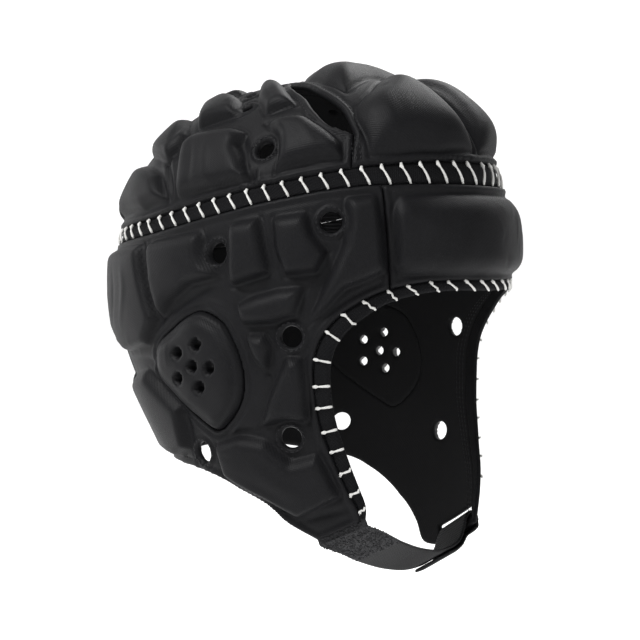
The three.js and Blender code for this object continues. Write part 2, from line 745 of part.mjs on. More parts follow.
function earCover(side) {
  const outline = grown(earCoverOutline(side), -SEAM_GAP / 2 / MM_PER_DEGREE);
  const shoulder = PAD_SHOULDER / MM_PER_DEGREE;
  const dome = new THREE.ExtrudeGeometry(new THREE.Shape(outline), {
    depth: PANEL_WALL / 2,
    bevelEnabled: true,
    bevelThickness: EAR_COVER_RISE,
    bevelSize: shoulder,
    bevelOffset: -shoulder,
    bevelSegments: 2,
  });
  dome.translate(0, 0, PANEL_WALL / 2);
  const below = toSolid(slab(grown(outline, shoulder), -EAR_COVER_RISE, PANEL_WALL / 2 + SEAM_GAP));
  let solid = toSolid(dome).subtract(below).add(toSolid(slab(outline, 0, PANEL_WALL)));
  for (const hole of EAR_HOLES) {
    const cut = circleOutline(wallChart, hole, EAR_HOLE_DIAMETER, side);
    solid = solid.subtract(toSolid(slab(cut, -PANEL_WALL, PANEL_WALL + 2 * EAR_COVER_RISE)));
  }
  return bent(toGeometry(solid), wallChart);
}

function faceBinding() {
  const inset = SEAM_GAP / 2 / MM_PER_DEGREE;
  const outline = [
    ...flatRows([...leftFreeEdge].reverse(), wallChart, LEFT),
    ...flatRows(rightFreeEdge.slice(1), wallChart, RIGHT),
    ...flatRows([...rightFold].reverse(), wallChart, RIGHT),
    ...flatRows(leftFold.slice(1), wallChart, LEFT),
  ];
  return bent(slab(grown(outline, -inset), 0, BINDING_THICKNESS), wallChart);
}

// Chart point beside the slot: so many mm along it and down from its middle, and lifted off the skin
function besideSlot(along, down, lift = 0) {
  const slope = new THREE.Vector2(1, SLOT_SLOPE).normalize();
  const angle = SLOT_MIDDLE[0] + (along * slope.x - down * slope.y) / MM_PER_DEGREE;
  const level = SLOT_MIDDLE[1] + (along * slope.y + down * slope.x) / MM_PER_DEGREE;
  return new THREE.Vector3(angle, -level, lift);
}

function slotOutline() {
  const length = SLOT_LENGTH / 2;
  const height = SLOT_HEIGHT / 2;
  const corners = [[-length, -height], [length, -height], [length, height], [-length, height]];
  return corners.map(([along, down]) => besideSlot(along, down)).map(({ x, y }) => new THREE.Vector2(x, y));
}

// Band with a flat section along stations, each with a middle and a direction across the band
function band(stations, width, thickness) {
  const steps = stations.length - 1;
  const box = new THREE.BoxGeometry(steps, width, thickness, steps, 1, 1);
  box.deleteAttribute("normal");
  box.deleteAttribute("uv");
  const merged = mergeVertices(box);
  const position = merged.attributes.position;
  for (let i = 0; i < position.count; i += 1) {
    const index = Math.round(position.getX(i) + steps / 2);
    const before = stations[Math.max(index - 1, 0)].middle;
    const after = stations[Math.min(index + 1, steps)].middle;
    const { middle, across } = stations[index];
    const outward = after.clone().sub(before).cross(across).normalize();
    const point = middle.clone().addScaledVector(across, position.getY(i));
    point.addScaledVector(outward, position.getZ(i));
    position.setXYZ(i, point.x, point.y, point.z);
  }
  merged.computeVertexNormals();
  return merged;
}

// The strap's route. It is sewn to the end of the right flap, sags under the chin, rises to the slot in the
// left flap, turns over the slot's lip and folds back down outside the flap and under itself.
const seamEnds = [RIGHT_JAW_ROWS.at(-1), RIGHT_BOTTOM_ROWS.at(-1)].map(([angle, level]) => (
  skinPoint(wallChart, { x: -angle, y: -level, z: PANEL_WALL / 2 })
));
const seamMiddle = seamEnds[0].clone().lerp(seamEnds[1], 0.5);
const seamAcross = seamEnds[0].clone().sub(seamEnds[1]).normalize();
const slotEnds = [-1, 1].map((side) => skinPoint(wallChart, besideSlot((side * SLOT_LENGTH) / 2, 0)));
const slotAcross = slotEnds[0].clone().sub(slotEnds[1]).normalize();
const lipRadius = (PANEL_WALL + ELASTIC_THICKNESS) / 2 + STRAP_CLEARANCE;

// Point of the turn over the slot's lip, from 0 on the inner side to 180 degrees on the outer side
function lipPoint(degrees) {
  const turn = THREE.MathUtils.degToRad(degrees);
  const down = SLOT_HEIGHT / 2 - lipRadius * Math.sin(turn);
  return skinPoint(wallChart, besideSlot(0, down, PANEL_WALL / 2 - lipRadius * Math.cos(turn)));
}

function strapCurve() {
  const [angle, level] = RIGHT_BOTTOM_ROWS.at(-1);
  const outside = skinPoint(wallChart, { x: -angle, y: -level, z: 1 }).sub(formPoint(-angle, level));
  const away = seamAcross.clone().cross(outside).normalize();
  const start = seamMiddle.clone().addScaledVector(away, SEAM_GAP);
  const end = lipPoint(STRAP_LEAN);
  const beforeEnd = lipPoint(STRAP_LEAN + 1).sub(end).normalize();
  const middles = STRAP_ROWS.map(({ across, sag }) => {
    const point = start.clone().lerp(end, across);
    point.z -= sag * CHIN_SAG;
    return point;
  });
  return new THREE.CatmullRomCurve3([
    start,
    start.clone().addScaledVector(away, STRAP_STEP / 2),
    ...middles,
    end.clone().addScaledVector(beforeEnd, -STRAP_STEP / 2),
    end,
  ]);
}

// Direction across the strap, which turns from the seam's to the slot's along its length
const strapAcross = (share) => seamAcross.clone().lerp(slotAcross, share).normalize();

// Stations along a part of the strap's curve, given as shares of its length
function strapStations(curve, from, to) {
  const count = Math.ceil((curve.getLength() * (to - from)) / STRAP_STEP);
  return Array.from({ length: count + 1 }, (_, i) => {
    const share = from + ((to - from) * i) / count;
    return { middle: curve.getPointAt(share), across: strapAcross(share) };
  });
}

function strapTape() {
  return band(strapStations(strapCurve(), 0, LOOP_TAPE_SHARE), LOOP_TAPE_WIDTH, LOOP_TAPE_THICKNESS);
}

function strapElastic() {
  const curve = strapCurve();
  const length = curve.getLength();
  const stations = strapStations(curve, LOOP_TAPE_SHARE + SEAM_GAP / length, 1);
  const turnSteps = 5;
  for (let i = 1; i <= turnSteps; i += 1) {
    const degrees = STRAP_LEAN + ((180 - STRAP_LEAN) * i) / turnSteps;
    stations.push({ middle: lipPoint(degrees), across: slotAcross });
  }
  const lift = PANEL_WALL / 2 + lipRadius;
  const lipFoot = SLOT_HEIGHT / 2 + SLOT_LIP;
  stations.push({ middle: skinPoint(wallChart, besideSlot(0, lipFoot, lift)), across: slotAcross });
  const layerStep = ELASTIC_THICKNESS + STRAP_CLEARANCE;
  for (let back = 2 * lipFoot; back <= FOLDED_TAIL_LENGTH; back += STRAP_STEP) {
    const share = 1 - back / length;
    const across = strapAcross(share);
    const outward = curve.getTangentAt(share).cross(across).normalize();
    stations.push({ middle: curve.getPointAt(share).addScaledVector(outward, layerStep), across });
  }
  return band(stations, ELASTIC_WIDTH, ELASTIC_THICKNESS);
}

const group = new THREE.Group();

function addMesh(name, geometry, color, roughness) {
  const material = new THREE.MeshStandardMaterial({ color, roughness, metalness: 0 });
  const mesh = new THREE.Mesh(geometry, material);
  mesh.name = name;
  group.add(mesh);
}

const PANEL_BLACK = 0x232326;
const TAPE_BLACK = 0x17171a;
const ROUGH_CLOTH = 0.8;

addMesh("crown_front", crownFront(), PANEL_BLACK, ROUGH_CLOTH);
addMesh("crown_rear", crownRear(), PANEL_BLACK, ROUGH_CLOTH);
addMesh("seam_tape", seamTape(), TAPE_BLACK, ROUGH_CLOTH);
addMesh("forehead_panel", foreheadPanel(), PANEL_BLACK, ROUGH_CLOTH);
addMesh("side_panel_right", sidePanel(RIGHT), PANEL_BLACK, ROUGH_CLOTH);
addMesh("side_panel_left", sidePanel(LEFT), PANEL_BLACK, ROUGH_CLOTH);
addMesh("back_panel", backPanel(), PANEL_BLACK, ROUGH_CLOTH);
addMesh("ear_cover_right", earCover(RIGHT), PANEL_BLACK, ROUGH_CLOTH);
addMesh("ear_cover_left", earCover(LEFT), PANEL_BLACK, ROUGH_CLOTH);
addMesh("face_binding", faceBinding(), TAPE_BLACK, ROUGH_CLOTH);
addMesh("chin_strap_tape", strapTape(), TAPE_BLACK, ROUGH_CLOTH);
addMesh("chin_strap_elastic", strapElastic(), TAPE_BLACK, ROUGH_CLOTH);

export default group;
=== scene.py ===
import math
import random

import bmesh
import bpy
import numpy as np
from mathutils import Matrix, Vector


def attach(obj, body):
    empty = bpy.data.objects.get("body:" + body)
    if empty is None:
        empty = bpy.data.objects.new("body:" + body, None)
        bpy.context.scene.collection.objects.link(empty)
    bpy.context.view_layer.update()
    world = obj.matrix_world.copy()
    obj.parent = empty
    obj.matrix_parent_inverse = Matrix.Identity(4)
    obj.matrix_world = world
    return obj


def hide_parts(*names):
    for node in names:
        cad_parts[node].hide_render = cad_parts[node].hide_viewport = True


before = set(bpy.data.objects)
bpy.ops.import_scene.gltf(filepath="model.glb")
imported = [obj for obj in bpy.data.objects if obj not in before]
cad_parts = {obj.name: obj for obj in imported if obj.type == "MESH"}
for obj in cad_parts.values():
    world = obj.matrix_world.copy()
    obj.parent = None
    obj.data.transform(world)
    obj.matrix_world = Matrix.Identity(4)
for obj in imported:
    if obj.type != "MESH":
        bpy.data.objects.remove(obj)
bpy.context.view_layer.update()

# Seam tape. A coarse woven tape, twelve millimetres wide at the front and narrower behind, runs all
# round the head between the crown and the lower panels. It lies sunk between their rolled edges, and
# the white lacing crosses it. All lengths here are millimetres, and places are an angle round the head
# from the middle of the forehead and a level down from the top, in degrees.
MM = 0.001
HEAD_HALF_WIDTH = 79
FOREHEAD_REACH = 92
NAPE_REACH = 115
CROWN_HEIGHT = 97
CHEEK_DROP = 141.5
WIDEST_LEVEL = 90
FRONT_ROUNDNESS = 0.71
BACK_ROUNDNESS = 0.9
REAR_CORNER_FULLNESS = 0.04
FULL_CORNER_LEVEL = 95
PLAIN_CORNER_LEVEL = 140
MM_PER_DEGREE = math.radians(HEAD_HALF_WIDTH)
SEAM_GAP = 0.35
SEAM_TAPE_WIDTH = 12
SEAM_TAPE_THICKNESS = 2.4

# Below the widest level, as shares of the sizes there: level, width, front, back
CHEEK_SECTIONS = [
    (90, 1, 1, 1),
    (105, 1.01, 1, 0.975),
    (120, 1, 0.99, 0.89),
    (135, 0.97, 0.965, 0.76),
    (150, 0.93, 0.94, 0.63),
    (165, 0.87, 0.91, 0.5),
    (180, 0.79, 0.86, 0.38),
    (195, 0.7, 0.8, 0.27),
]

# Middle of the tape, and its share of the full width: angle, level, width
SEAM_ROWS = [
    (0, 61, 0.95), (22, 61, 0.93), (36, 61.5, 0.85), (48, 62, 0.78), (60, 63.2, 0.7), (72, 65, 0.68),
    (85, 67, 0.7), (98, 69.7, 0.7), (110, 72.5, 0.67), (123, 75, 0.63), (141, 77, 0.6), (160, 78.2, 0.6),
    (180, 78.6, 0.6),
]


def smooth_value(rows, column, key):
    """A column of a table between its rows, on a smooth curve through them."""
    table = np.array(rows, float)
    keys, values = table[:, 0], table[:, column]
    slopes = np.zeros(len(keys))
    slopes[1:-1] = (values[2:] - values[:-2]) / (keys[2:] - keys[:-2])
    key = np.clip(key, keys[0], keys[-1])
    i = np.clip(np.searchsorted(keys, key) - 1, 0, len(keys) - 2)
    span = keys[i + 1] - keys[i]
    t = (key - keys[i]) / span
    leaving = slopes[i] * (t**3 - 2 * t**2 + t)
    arriving = slopes[i + 1] * (t**3 - t**2)
    return values[i] + (values[i + 1] - values[i]) * t * t * (3 - 2 * t) + span * (leaving + arriving)


def form_point(angle, level):
    """Points of the hollow that the head fills."""
    turn = np.radians(angle)
    ahead = np.cos(turn) > 0
    power = 2 / (BACK_ROUNDNESS + (FRONT_ROUNDNESS - BACK_ROUNDNESS) * ((1 + np.cos(turn)) / 2) ** 2)
    tilt = np.radians(np.clip(level, 0, WIDEST_LEVEL))
    sine, cosine = np.sin(tilt), np.maximum(np.cos(tilt), 0)
    radius = (sine**power + cosine**power) ** (-1 / power)
    upper = np.asarray(level) <= WIDEST_LEVEL
    width = np.where(upper, radius * sine, smooth_value(CHEEK_SECTIONS, 1, level))
    lower_reach = np.where(
        ahead, smooth_value(CHEEK_SECTIONS, 2, level), smooth_value(CHEEK_SECTIONS, 3, level)
    )
    reach = np.where(ahead, FOREHEAD_REACH, NAPE_REACH) * np.where(upper, radius * sine, lower_reach)
    below = CHEEK_DROP * (level - WIDEST_LEVEL) / WIDEST_LEVEL
    height = np.where(upper, CROWN_HEIGHT * (radius * cosine - 1), -CROWN_HEIGHT - below)
    fade = np.clip((PLAIN_CORNER_LEVEL - level) / (PLAIN_CORNER_LEVEL - FULL_CORNER_LEVEL), 0, 1)
    fuller = 1 + REAR_CORNER_FULLNESS * fade * ~ahead * np.sin(2 * turn) ** 2
    x = HEAD_HALF_WIDTH * width * np.sin(turn) * fuller
    return np.stack([x, -reach * np.cos(turn) * fuller, height], -1)


def wall_chart(rows, side=1):
    """Flat map that suits the sides of the head."""
    rows = np.array(rows, float)
    return np.stack([rows[:, 0] * side, -rows[:, 1]], -1)


def wall_place(flat):
    return flat[..., 0], -flat[..., 1]


def crown_chart(rows, side=1):
    """Flat map that looks down on the head, so it is whole at the top."""
    rows = np.array(rows, float)
    turn = np.radians(rows[:, 0] * side)
    return np.stack([rows[:, 1] * np.sin(turn), -rows[:, 1] * np.cos(turn)], -1)


def crown_place(flat):
    return np.degrees(np.arctan2(flat[..., 0], -flat[..., 1])), np.hypot(flat[..., 0], flat[..., 1])


SLOPE_STEP = 0.1


def chart_steps(flat, place):
    """Steps on the form along the map's two directions, for each degree."""
    across = np.array([SLOPE_STEP, 0])
    along = np.array([0, SLOPE_STEP])
    steps = [
        (form_point(*place(flat + way)) - form_point(*place(flat - way))) / (2 * SLOPE_STEP)
        for way in (across, along)
    ]
    return steps


def on_skin(flat, lift, place):
    """Points of the cap, lifted off the hollow."""
    across, along = chart_steps(flat, place)
    normal = np.cross(across, along)
    normal /= np.linalg.norm(normal, axis=-1, keepdims=True)
    return form_point(*place(flat)) + normal * np.asarray(lift)[..., None]


def seam_edge(angle, share):
    """Level of the seam tape: -1 is its upper edge and 1 its lower edge."""
    angle = np.asarray(angle, float)
    level = smooth_value(SEAM_ROWS, 1, np.abs(angle))
    width = smooth_value(SEAM_ROWS, 2, np.abs(angle)) * SEAM_TAPE_WIDTH
    along = chart_steps(np.stack([angle, -level], -1), wall_place)[1]
    return level + share * width / 2 / np.linalg.norm(along, axis=-1)


def positions(points):
    """Coordinates of a bmesh's or a mesh's vertices."""
    return np.array([v.co[:] for v in points])


def closed_shell(bm):
    """Gives a flat sheet its second layer, marked by a height of 1, and the walls between the two."""
    made = bmesh.ops.extrude_face_region(bm, geom=bm.faces[:], use_keep_orig=True)
    for vertex in (part for part in made["geom"] if isinstance(part, bmesh.types.BMVert)):
        vertex.co.z = 1
    bmesh.ops.recalc_face_normals(bm, faces=bm.faces[:])


def cloth_piece(name, bm, place, low, high, materials):
    """Bends a flat shell round the head. Its flat place in millimetres becomes its UV map."""
    for face in bm.faces:
        inner = all(vertex.co.z < 0.5 for vertex in face.verts)
        face.material_index = len(materials) - 1 if inner else 0
        face.smooth = True
    mesh = bpy.data.meshes.new(name)
    bm.to_mesh(mesh)
    bm.free()
    marked = positions(mesh.vertices)
    flat, outer = marked[:, :2], marked[:, 2] > 0.5
    lift = np.where(outer, high(flat), low(flat))
    mesh.vertices.foreach_set("co", (on_skin(flat, lift, place) * MM).ravel())
    corners = np.empty(len(mesh.loops), int)
    mesh.loops.foreach_get("vertex_index", corners)
    uv = mesh.uv_layers.new(name="cloth")
    uv.data.foreach_set("uv", (flat[corners] * MM_PER_DEGREE).ravel())
    for material in materials:
        mesh.materials.append(material)
    mesh.update()
    piece = bpy.data.objects.new(name, mesh)
    bpy.context.collection.objects.link(piece)
    return piece


def plain_piece(name, bm, materials):
    """A piece whose bmesh is already in place, in millimetres."""
    bmesh.ops.scale(bm, vec=(MM, MM, MM), verts=bm.verts[:])
    for face in bm.faces:
        face.smooth = True
    mesh = bpy.data.meshes.new(name)
    bm.to_mesh(mesh)
    bm.free()
    for material in materials:
        mesh.materials.append(material)
    piece = bpy.data.objects.new(name, mesh)
    bpy.context.collection.objects.link(piece)
    return piece


class Signal:
    """A shader socket that adds and multiplies as a number does."""

    def __init__(self, tree, socket=None):
        self.tree = tree
        self.socket = socket

    def node(self, kind, settings=(), inputs=(), output=0):
        made = self.tree.nodes.new(kind)
        for key, value in dict(settings).items():
            setattr(made, key, value)
        for key, value in dict(inputs).items():
            if isinstance(value, Signal):
                self.tree.links.new(value.socket, made.inputs[key])
            else:
                made.inputs[key].default_value = value
        return Signal(self.tree, made.outputs[output])

    def math(self, operation, first, second=0.0):
        return self.node("ShaderNodeMath", {"operation": operation}, {0: first, 1: second})

    def __add__(self, other):
        return self.math("ADD", self, other)

    __radd__ = __add__

    def __sub__(self, other):
        return self.math("SUBTRACT", self, other)

    def __rsub__(self, other):
        return self.math("SUBTRACT", other, self)

    def __mul__(self, other):
        return self.math("MULTIPLY", self, other)

    __rmul__ = __mul__

    def sine(self):
        return self.math("SINE", self)

    def mixed(self, dark, light):
        """A colour between two, by this signal."""
        inputs = {0: self, 6: (*dark, 1), 7: (*light, 1)}
        return self.node("ShaderNodeMix", {"data_type": "RGBA"}, inputs, output=2)


def finish(name, dark, light, rough, relief, grain, gloss=0.1, weave=None, relief_depth=0.3):
    """Cloth or thread: mottled colour, uneven roughness, and relief from its weave and its grain."""
    material = bpy.data.materials.new(name)
    material.use_nodes = True
    tree = material.node_tree
    surface = next(node for node in tree.nodes if node.type == "BSDF_PRINCIPLED")
    surface.inputs["Specular IOR Level"].default_value = gloss
    start = Signal(tree)
    place = start.node("ShaderNodeTexCoord", output="Object")
    noise = {"Vector": place, "Scale": grain, "Detail": 3.0, "Roughness": 0.6}
    grains = start.node("ShaderNodeTexNoise", inputs=noise)
    broad = start.node("ShaderNodeTexNoise", inputs={"Vector": place, "Scale": 45.0, "Detail": 2.0})
    height = grains * relief
    if weave is not None:
        cloth = start.node("ShaderNodeUVMap", {"uv_map": "cloth"})
        u = start.node("ShaderNodeSeparateXYZ", inputs={0: cloth}, output=0)
        v = start.node("ShaderNodeSeparateXYZ", inputs={0: cloth}, output=1)
        woven = weave(u, v)
        height = height + woven
        mottle = 0.3 * broad + 0.2 * (0.5 + 0.5 * woven) + 0.5 * (2.2 * grains - 0.6)
    else:
        mottle = 0.5 * broad + 0.5 * grains
    tree.links.new(mottle.mixed(dark, light).socket, surface.inputs["Base Color"])
    tree.links.new((rough - 0.15 + 0.3 * grains).socket, surface.inputs["Roughness"])
    bump = {"Height": height, "Strength": 0.5, "Distance": relief_depth * MM}
    normal = start.node("ShaderNodeBump", inputs=bump)
    tree.links.new(normal.socket, surface.inputs["Normal"])
    return material


def tape_weave(u, v):
    return 0.5 * ((4.2 * u).sine() * (4.2 * v).sine())


tape_cloth = finish(
    "woven_tape", (0.002, 0.002, 0.0025), (0.008, 0.008, 0.009), 0.86, 0.8, 1500.0, 0.12, tape_weave, 0.5
)
lining_cloth = finish(
    "lining_jersey", (0.005, 0.005, 0.0055), (0.01, 0.01, 0.0105), 0.88, 0.5, 1900.0, 0.15, tape_weave, 0.15
)

TAPE_TURNS = 300
TAPE_RIBS = 8
tape_sheet = bmesh.new()
bmesh.ops.create_grid(tape_sheet, x_segments=TAPE_TURNS, y_segments=TAPE_RIBS, size=1)
for vertex in tape_sheet.verts:
    tape_angle = 180 * vertex.co.x
    edge_share = vertex.co.y * (1 - 2 * SEAM_GAP / SEAM_TAPE_WIDTH)
    flat_place = crown_chart([(tape_angle, float(seam_edge(tape_angle, -edge_share)))])[0]
    vertex.co = (*flat_place, 0)
bmesh.ops.remove_doubles(tape_sheet, verts=tape_sheet.verts[:], dist=1e-4)
closed_shell(tape_sheet)


def tape_share(flat):
    angle, level = crown_place(flat)
    upper, lower = seam_edge(angle, -1), seam_edge(angle, 1)
    return 2 * (level - upper) / (lower - upper) - 1


def tape_top(flat):
    share = np.abs(tape_share(flat))
    return SEAM_TAPE_THICKNESS - 0.7 * np.cos(share * math.pi / 2) - 0.9 * np.clip(share - 0.8, 0, 1) * 5


seam_tape = cloth_piece(
    "seam_tape_cloth", tape_sheet, crown_place, lambda flat: 0.4 * np.abs(tape_share(flat)) ** 6, tape_top,
    [tape_cloth, lining_cloth],
)
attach(seam_tape, "root")
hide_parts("seam_tape")

# Front crown panel. Satin stretch knit over two large soft pads and one on top, each a block of foam
# between the cloth and a matt lining. The knit is pulled down and tucked round every block, and its
# edges are rolled. A narrow hemmed strip at each side carries rows of stitching.
PANEL_WALL = 3.4
PAD_RISE = 5.6
FRONT_CROWN_RISE = 9
GRID_STEP = 0.62
RASTER_STEP = 0.5
WRINKLES = 34
FOAM_MARGIN = 3
FOAM_FULLNESS = 2.1
FLANK_SHARE = 0.95
CROWNED_SHARE = 0.09
CROWNED_REACH = 16
SOFT_SHARE = 0.8
TUCK_DEPTH = 1.4
TUCK_HALF_WIDTH = 1.0
WAVE_HEIGHT = 0.07
WRINKLE_HEIGHT = 0.32
VENT_FLAT_REACH = 3.6
VENT_FLAT_SHARE = 0.75
LOWEST_RELIEF = -2.2
EDGE_LIFT = 2.0
# Overlocked ring and the groove round it, then rolled hem and its stitched groove: height, distance
# from the cut edge, half width
VENT_RING = [(0.6, 1.5, 0.8), (-0.55, 3.3, 0.7)]
HEM_ROLL = [(0.55, 1.7, 1.0), (-0.5, 4.0, 0.8)]
CROWN_SEAM_FOOT = 52.4
SLIT_FRONT_ROWS = [(50.4, 50), (53, 42), (56, 38), (64, 31), (80, 21), (105, 15)]
SLIT_REAR_ROWS = [(50.4, 50), (55, 48.2), (60, 46), (66, 40), (75, 31), (105, 15)]
TOP_SEAM_ROWS = [(105, 15), (137, 12), (180, 11)]
FRONT_CROWN_PAD = [
    (48, 41), (38, 34), (22, 25), (6, 21), (3, 30), (1.7, 55.5), (21, 56), (36, 56.3), (46, 56.8),
    (46.5, 52), (49, 46),
]
TOP_PAD_HALF = [(180, 8), (90, 13), (62, 24), (50, 32.5), (37, 25.5), (0, 18)]
# Folds of the knit: how far each stands up or sinks, its half width, and its path
FRONT_FOLDS = [
    (-1.1, 1.6, [(53.5, 50.2), (53, 55.5), (52.7, 58)]),
    (1.0, 1.4, [(52, 49.4), (50, 49.6), (48.2, 51.5), (48, 58)]),
    (0.5, 4.0, [(40, 36), (44, 47), (46, 55)]),
    (0.45, 3.0, [(35, 34), (37, 46), (36, 55)]),
    (-0.5, 2.4, [(20, 27), (26, 33), (34, 38)]),
    (-0.6, 2.2, [(6, 24), (9, 36), (4, 50)]),
]


def smooth_line(rows, pieces=5):
    """A curve through rows of a table."""
    rows = np.array(rows, float)
    ends = np.vstack([2 * rows[0] - rows[1], rows, 2 * rows[-1] - rows[-2]])
    t = (np.arange(pieces) / pieces)[:, None]
    parts = [
        b + 0.5 * ((c - a) * t + (2 * a - 5 * b + 4 * c - d) * t**2 + (3 * b - a - 3 * c + d) * t**3)
        for a, b, c, d in zip(ends, ends[1:], ends[2:], ends[3:])
    ]
    return np.vstack([*parts, rows[-1:]])


def both_sides(half):
    """Rows, then their mirror images, for an outline across the middle of the head."""
    return half + [(-angle, level) for angle, level in reversed(half) if 0 < angle < 180]


def seam_line(start, end, share, count=90):
    """Rows along one edge of the seam tape."""
    angles = np.linspace(start, end, count)
    return np.stack([angles, seam_edge((angles + 180) % 360 - 180, share)], -1)


def local_metric(flat, place):
    """Millimetres for each degree at each place, as a skewed pair of directions."""
    across, along = chart_steps(flat, place)
    wide = np.linalg.norm(across, axis=-1)
    skew = (across * along).sum(-1) / wide
    tall = np.sqrt(np.maximum((along * along).sum(-1) - skew**2, 1e-6))
    return wide, skew, tall


def line_distance(flat, line, metric, closed=False):
    """Distance in millimetres to a line, its nearest point, how far along it that is, and its normal."""
    wide, skew, tall = metric
    best = np.full(len(flat), 1e9)
    nearest = np.zeros((len(flat), 2))
    along = np.zeros(len(flat))
    facing = np.zeros((len(flat), 2))
    inside = np.zeros(len(flat), bool)
    ends = np.roll(line, -1, 0) if closed else line[1:]
    for index, (start, end) in enumerate(zip(line, ends)):
        run = end - start
        run_x, run_y = run[0] * wide + run[1] * skew, run[1] * tall
        away = flat - start
        away_x, away_y = away[:, 0] * wide + away[:, 1] * skew, away[:, 1] * tall
        length = np.maximum(run_x**2 + run_y**2, 1e-9)
        t = np.clip((away_x * run_x + away_y * run_y) / length, 0, 1)
        distance = np.hypot(away_x - t * run_x, away_y - t * run_y)
        closer = distance < best
        best = np.where(closer, distance, best)
        nearest[closer] = (start + t[:, None] * run)[closer]
        along = np.where(closer, (index + t) / len(ends), along)
        normal = np.stack([run_y, -run_x], -1) / np.sqrt(length)[:, None]
        facing[closer] = normal[closer]
        if closed and run[1]:
            spans = (flat[:, 1] >= start[1]) != (flat[:, 1] >= end[1])
            inside ^= spans & (flat[:, 0] < start[0] + (flat[:, 1] - start[1]) * run[0] / run[1])
    signed = np.where(inside, best, -best) if closed else best
    return signed, nearest, along, facing


def turned_area(line):
    """Positive for an outline that runs anticlockwise."""
    ahead = np.roll(line, -1, 0)
    return (line[:, 0] * ahead[:, 1] - ahead[:, 0] * line[:, 1]).sum()


def blurred(field, times):
    """A raster smoothed like stretched cloth."""
    for _ in range(times):
        padded = np.pad(field, 1, mode="edge")
        rows = (padded[:-2] + 2 * padded[1:-1] + padded[2:]) / 4
        field = (rows[:, :-2] + 2 * rows[:, 1:-1] + rows[:, 2:]) / 4
    return field


def rings_of(vents, place_rows, side, place, sides=28):
    """Round vents as outlines: rows of angle, level and diameter."""
    outlines = []
    for angle, level, diameter in vents:
        centre = place_rows([(angle, level)], side)[0]
        wide, skew, tall = (float(value[0]) for value in local_metric(centre[None], place))
        turns = np.linspace(0, 2 * math.pi, sides, endpoint=False)
        y = diameter / 2 * np.sin(turns) / tall
        x = (diameter / 2 * np.cos(turns) - y * skew) / wide
        outlines.append(centre + np.stack([x, y], -1))
    return outlines


def ridge(distance, half_width, away=0):
    """A soft ridge of height 1 along a line."""
    return np.exp(-(((distance - away) / half_width) ** 2))


def quilt_relief(outline, pads, folds, holes, place, soft_way=(0, 0), rims=(), noise_seed=1, softness=4):
    """Height of the outer cloth: blocks of foam, tucks round them, folds, vent rims and rolled edges."""
    low, high = outline.min(0) - FOAM_MARGIN, outline.max(0) + FOAM_MARGIN
    xs = np.arange(low[0], high[0], RASTER_STEP)
    ys = np.arange(low[1], high[1], RASTER_STEP)
    flat = np.stack(np.meshgrid(xs, ys), -1).reshape(-1, 2)
    metric = local_metric(flat, place)
    foam = np.zeros(len(flat))
    tuck = np.zeros(len(flat))
    for pad, rise, shoulder in pads:
        near = np.all((flat > pad.min(0) - FOAM_MARGIN) & (flat < pad.max(0) + FOAM_MARGIN), axis=1)
        part = [value[near] for value in metric]
        inward, _, _, facing = line_distance(flat[near], pad, part, closed=True)
        outward = facing * np.sign(turned_area(pad))
        softer = 1 + SOFT_SHARE * np.clip(outward @ np.array(soft_way), 0, 1)
        slope = np.clip(inward / (shoulder * softer), 0, 1)
        crowned = CROWNED_SHARE * rise * np.clip(inward / CROWNED_REACH, 0, 1)
        flank = rise * (1 - (1 - slope) ** FOAM_FULLNESS) * FLANK_SHARE
        foam[near] = np.maximum(foam[near], flank + crowned)
        tuck[near] += TUCK_DEPTH * ridge(inward, TUCK_HALF_WIDTH) / softer
    shape = (len(ys), len(xs))
    foam = blurred(foam.reshape(shape), softness).ravel()
    height = foam - tuck
    for rise, half_width, rows in folds:
        line = smooth_line(rows, 4)
        distance, _, along, _ = line_distance(flat, line, metric)
        height += rise * ridge(distance, half_width) * np.sin(math.pi * np.clip(along, 0.03, 0.97))
    source = np.random.default_rng(noise_seed)
    for _ in range(7):
        wave = source.uniform(-0.45, 0.45, 2)
        height += WAVE_HEIGHT * np.sin(flat @ wave + source.uniform(0, 6.3))
    for _ in range(WRINKLES):
        start, turn = source.uniform(low, high), source.uniform(0, math.pi)
        wrinkle = start + np.outer((-1, 0, 1), (math.cos(turn), math.sin(turn))) * source.uniform(3, 7)
        wrinkle[1] += source.uniform(-1, 1, 2)
        distance, _, along, _ = line_distance(flat, smooth_line(wrinkle, 2), metric)
        swell = np.sin(math.pi * along) * source.uniform(-WRINKLE_HEIGHT, WRINKLE_HEIGHT)
        height += swell * ridge(distance, source.uniform(0.7, 1.6))
    for rim, ridges in rims:
        outside = -line_distance(flat, rim, metric, closed=True)[0]
        for away, rise, half_width in ridges:
            height += rise * ridge(outside, half_width, away) * np.clip(1 - foam / 4, 0.15, 1)
    for hole in holes:
        outside = -line_distance(flat, hole, metric, closed=True)[0]
        height = height * (1 - VENT_FLAT_SHARE * ridge(np.maximum(outside, 0), VENT_FLAT_REACH))
        for rise, away, half_width in VENT_RING:
            height += rise * ridge(outside, half_width, away)
    edge = line_distance(flat, outline, metric, closed=True)[0]
    for rise, away, half_width in HEM_ROLL:
        height += rise * ridge(edge, half_width, away)
    lift = (PANEL_WALL + np.maximum(height, LOWEST_RELIEF)).reshape(shape)

    def sample(places):
        x = np.clip((places[:, 0] - xs[0]) / RASTER_STEP, 0, len(xs) - 1.001)
        y = np.clip((places[:, 1] - ys[0]) / RASTER_STEP, 0, len(ys) - 1.001)
        i, j = x.astype(int), y.astype(int)
        fx, fy = x - i, y - j
        upper = lift[j, i] * (1 - fx) + lift[j, i + 1] * fx
        lower = lift[j + 1, i] * (1 - fx) + lift[j + 1, i + 1] * fx
        return upper * (1 - fy) + lower * fy

    return sample


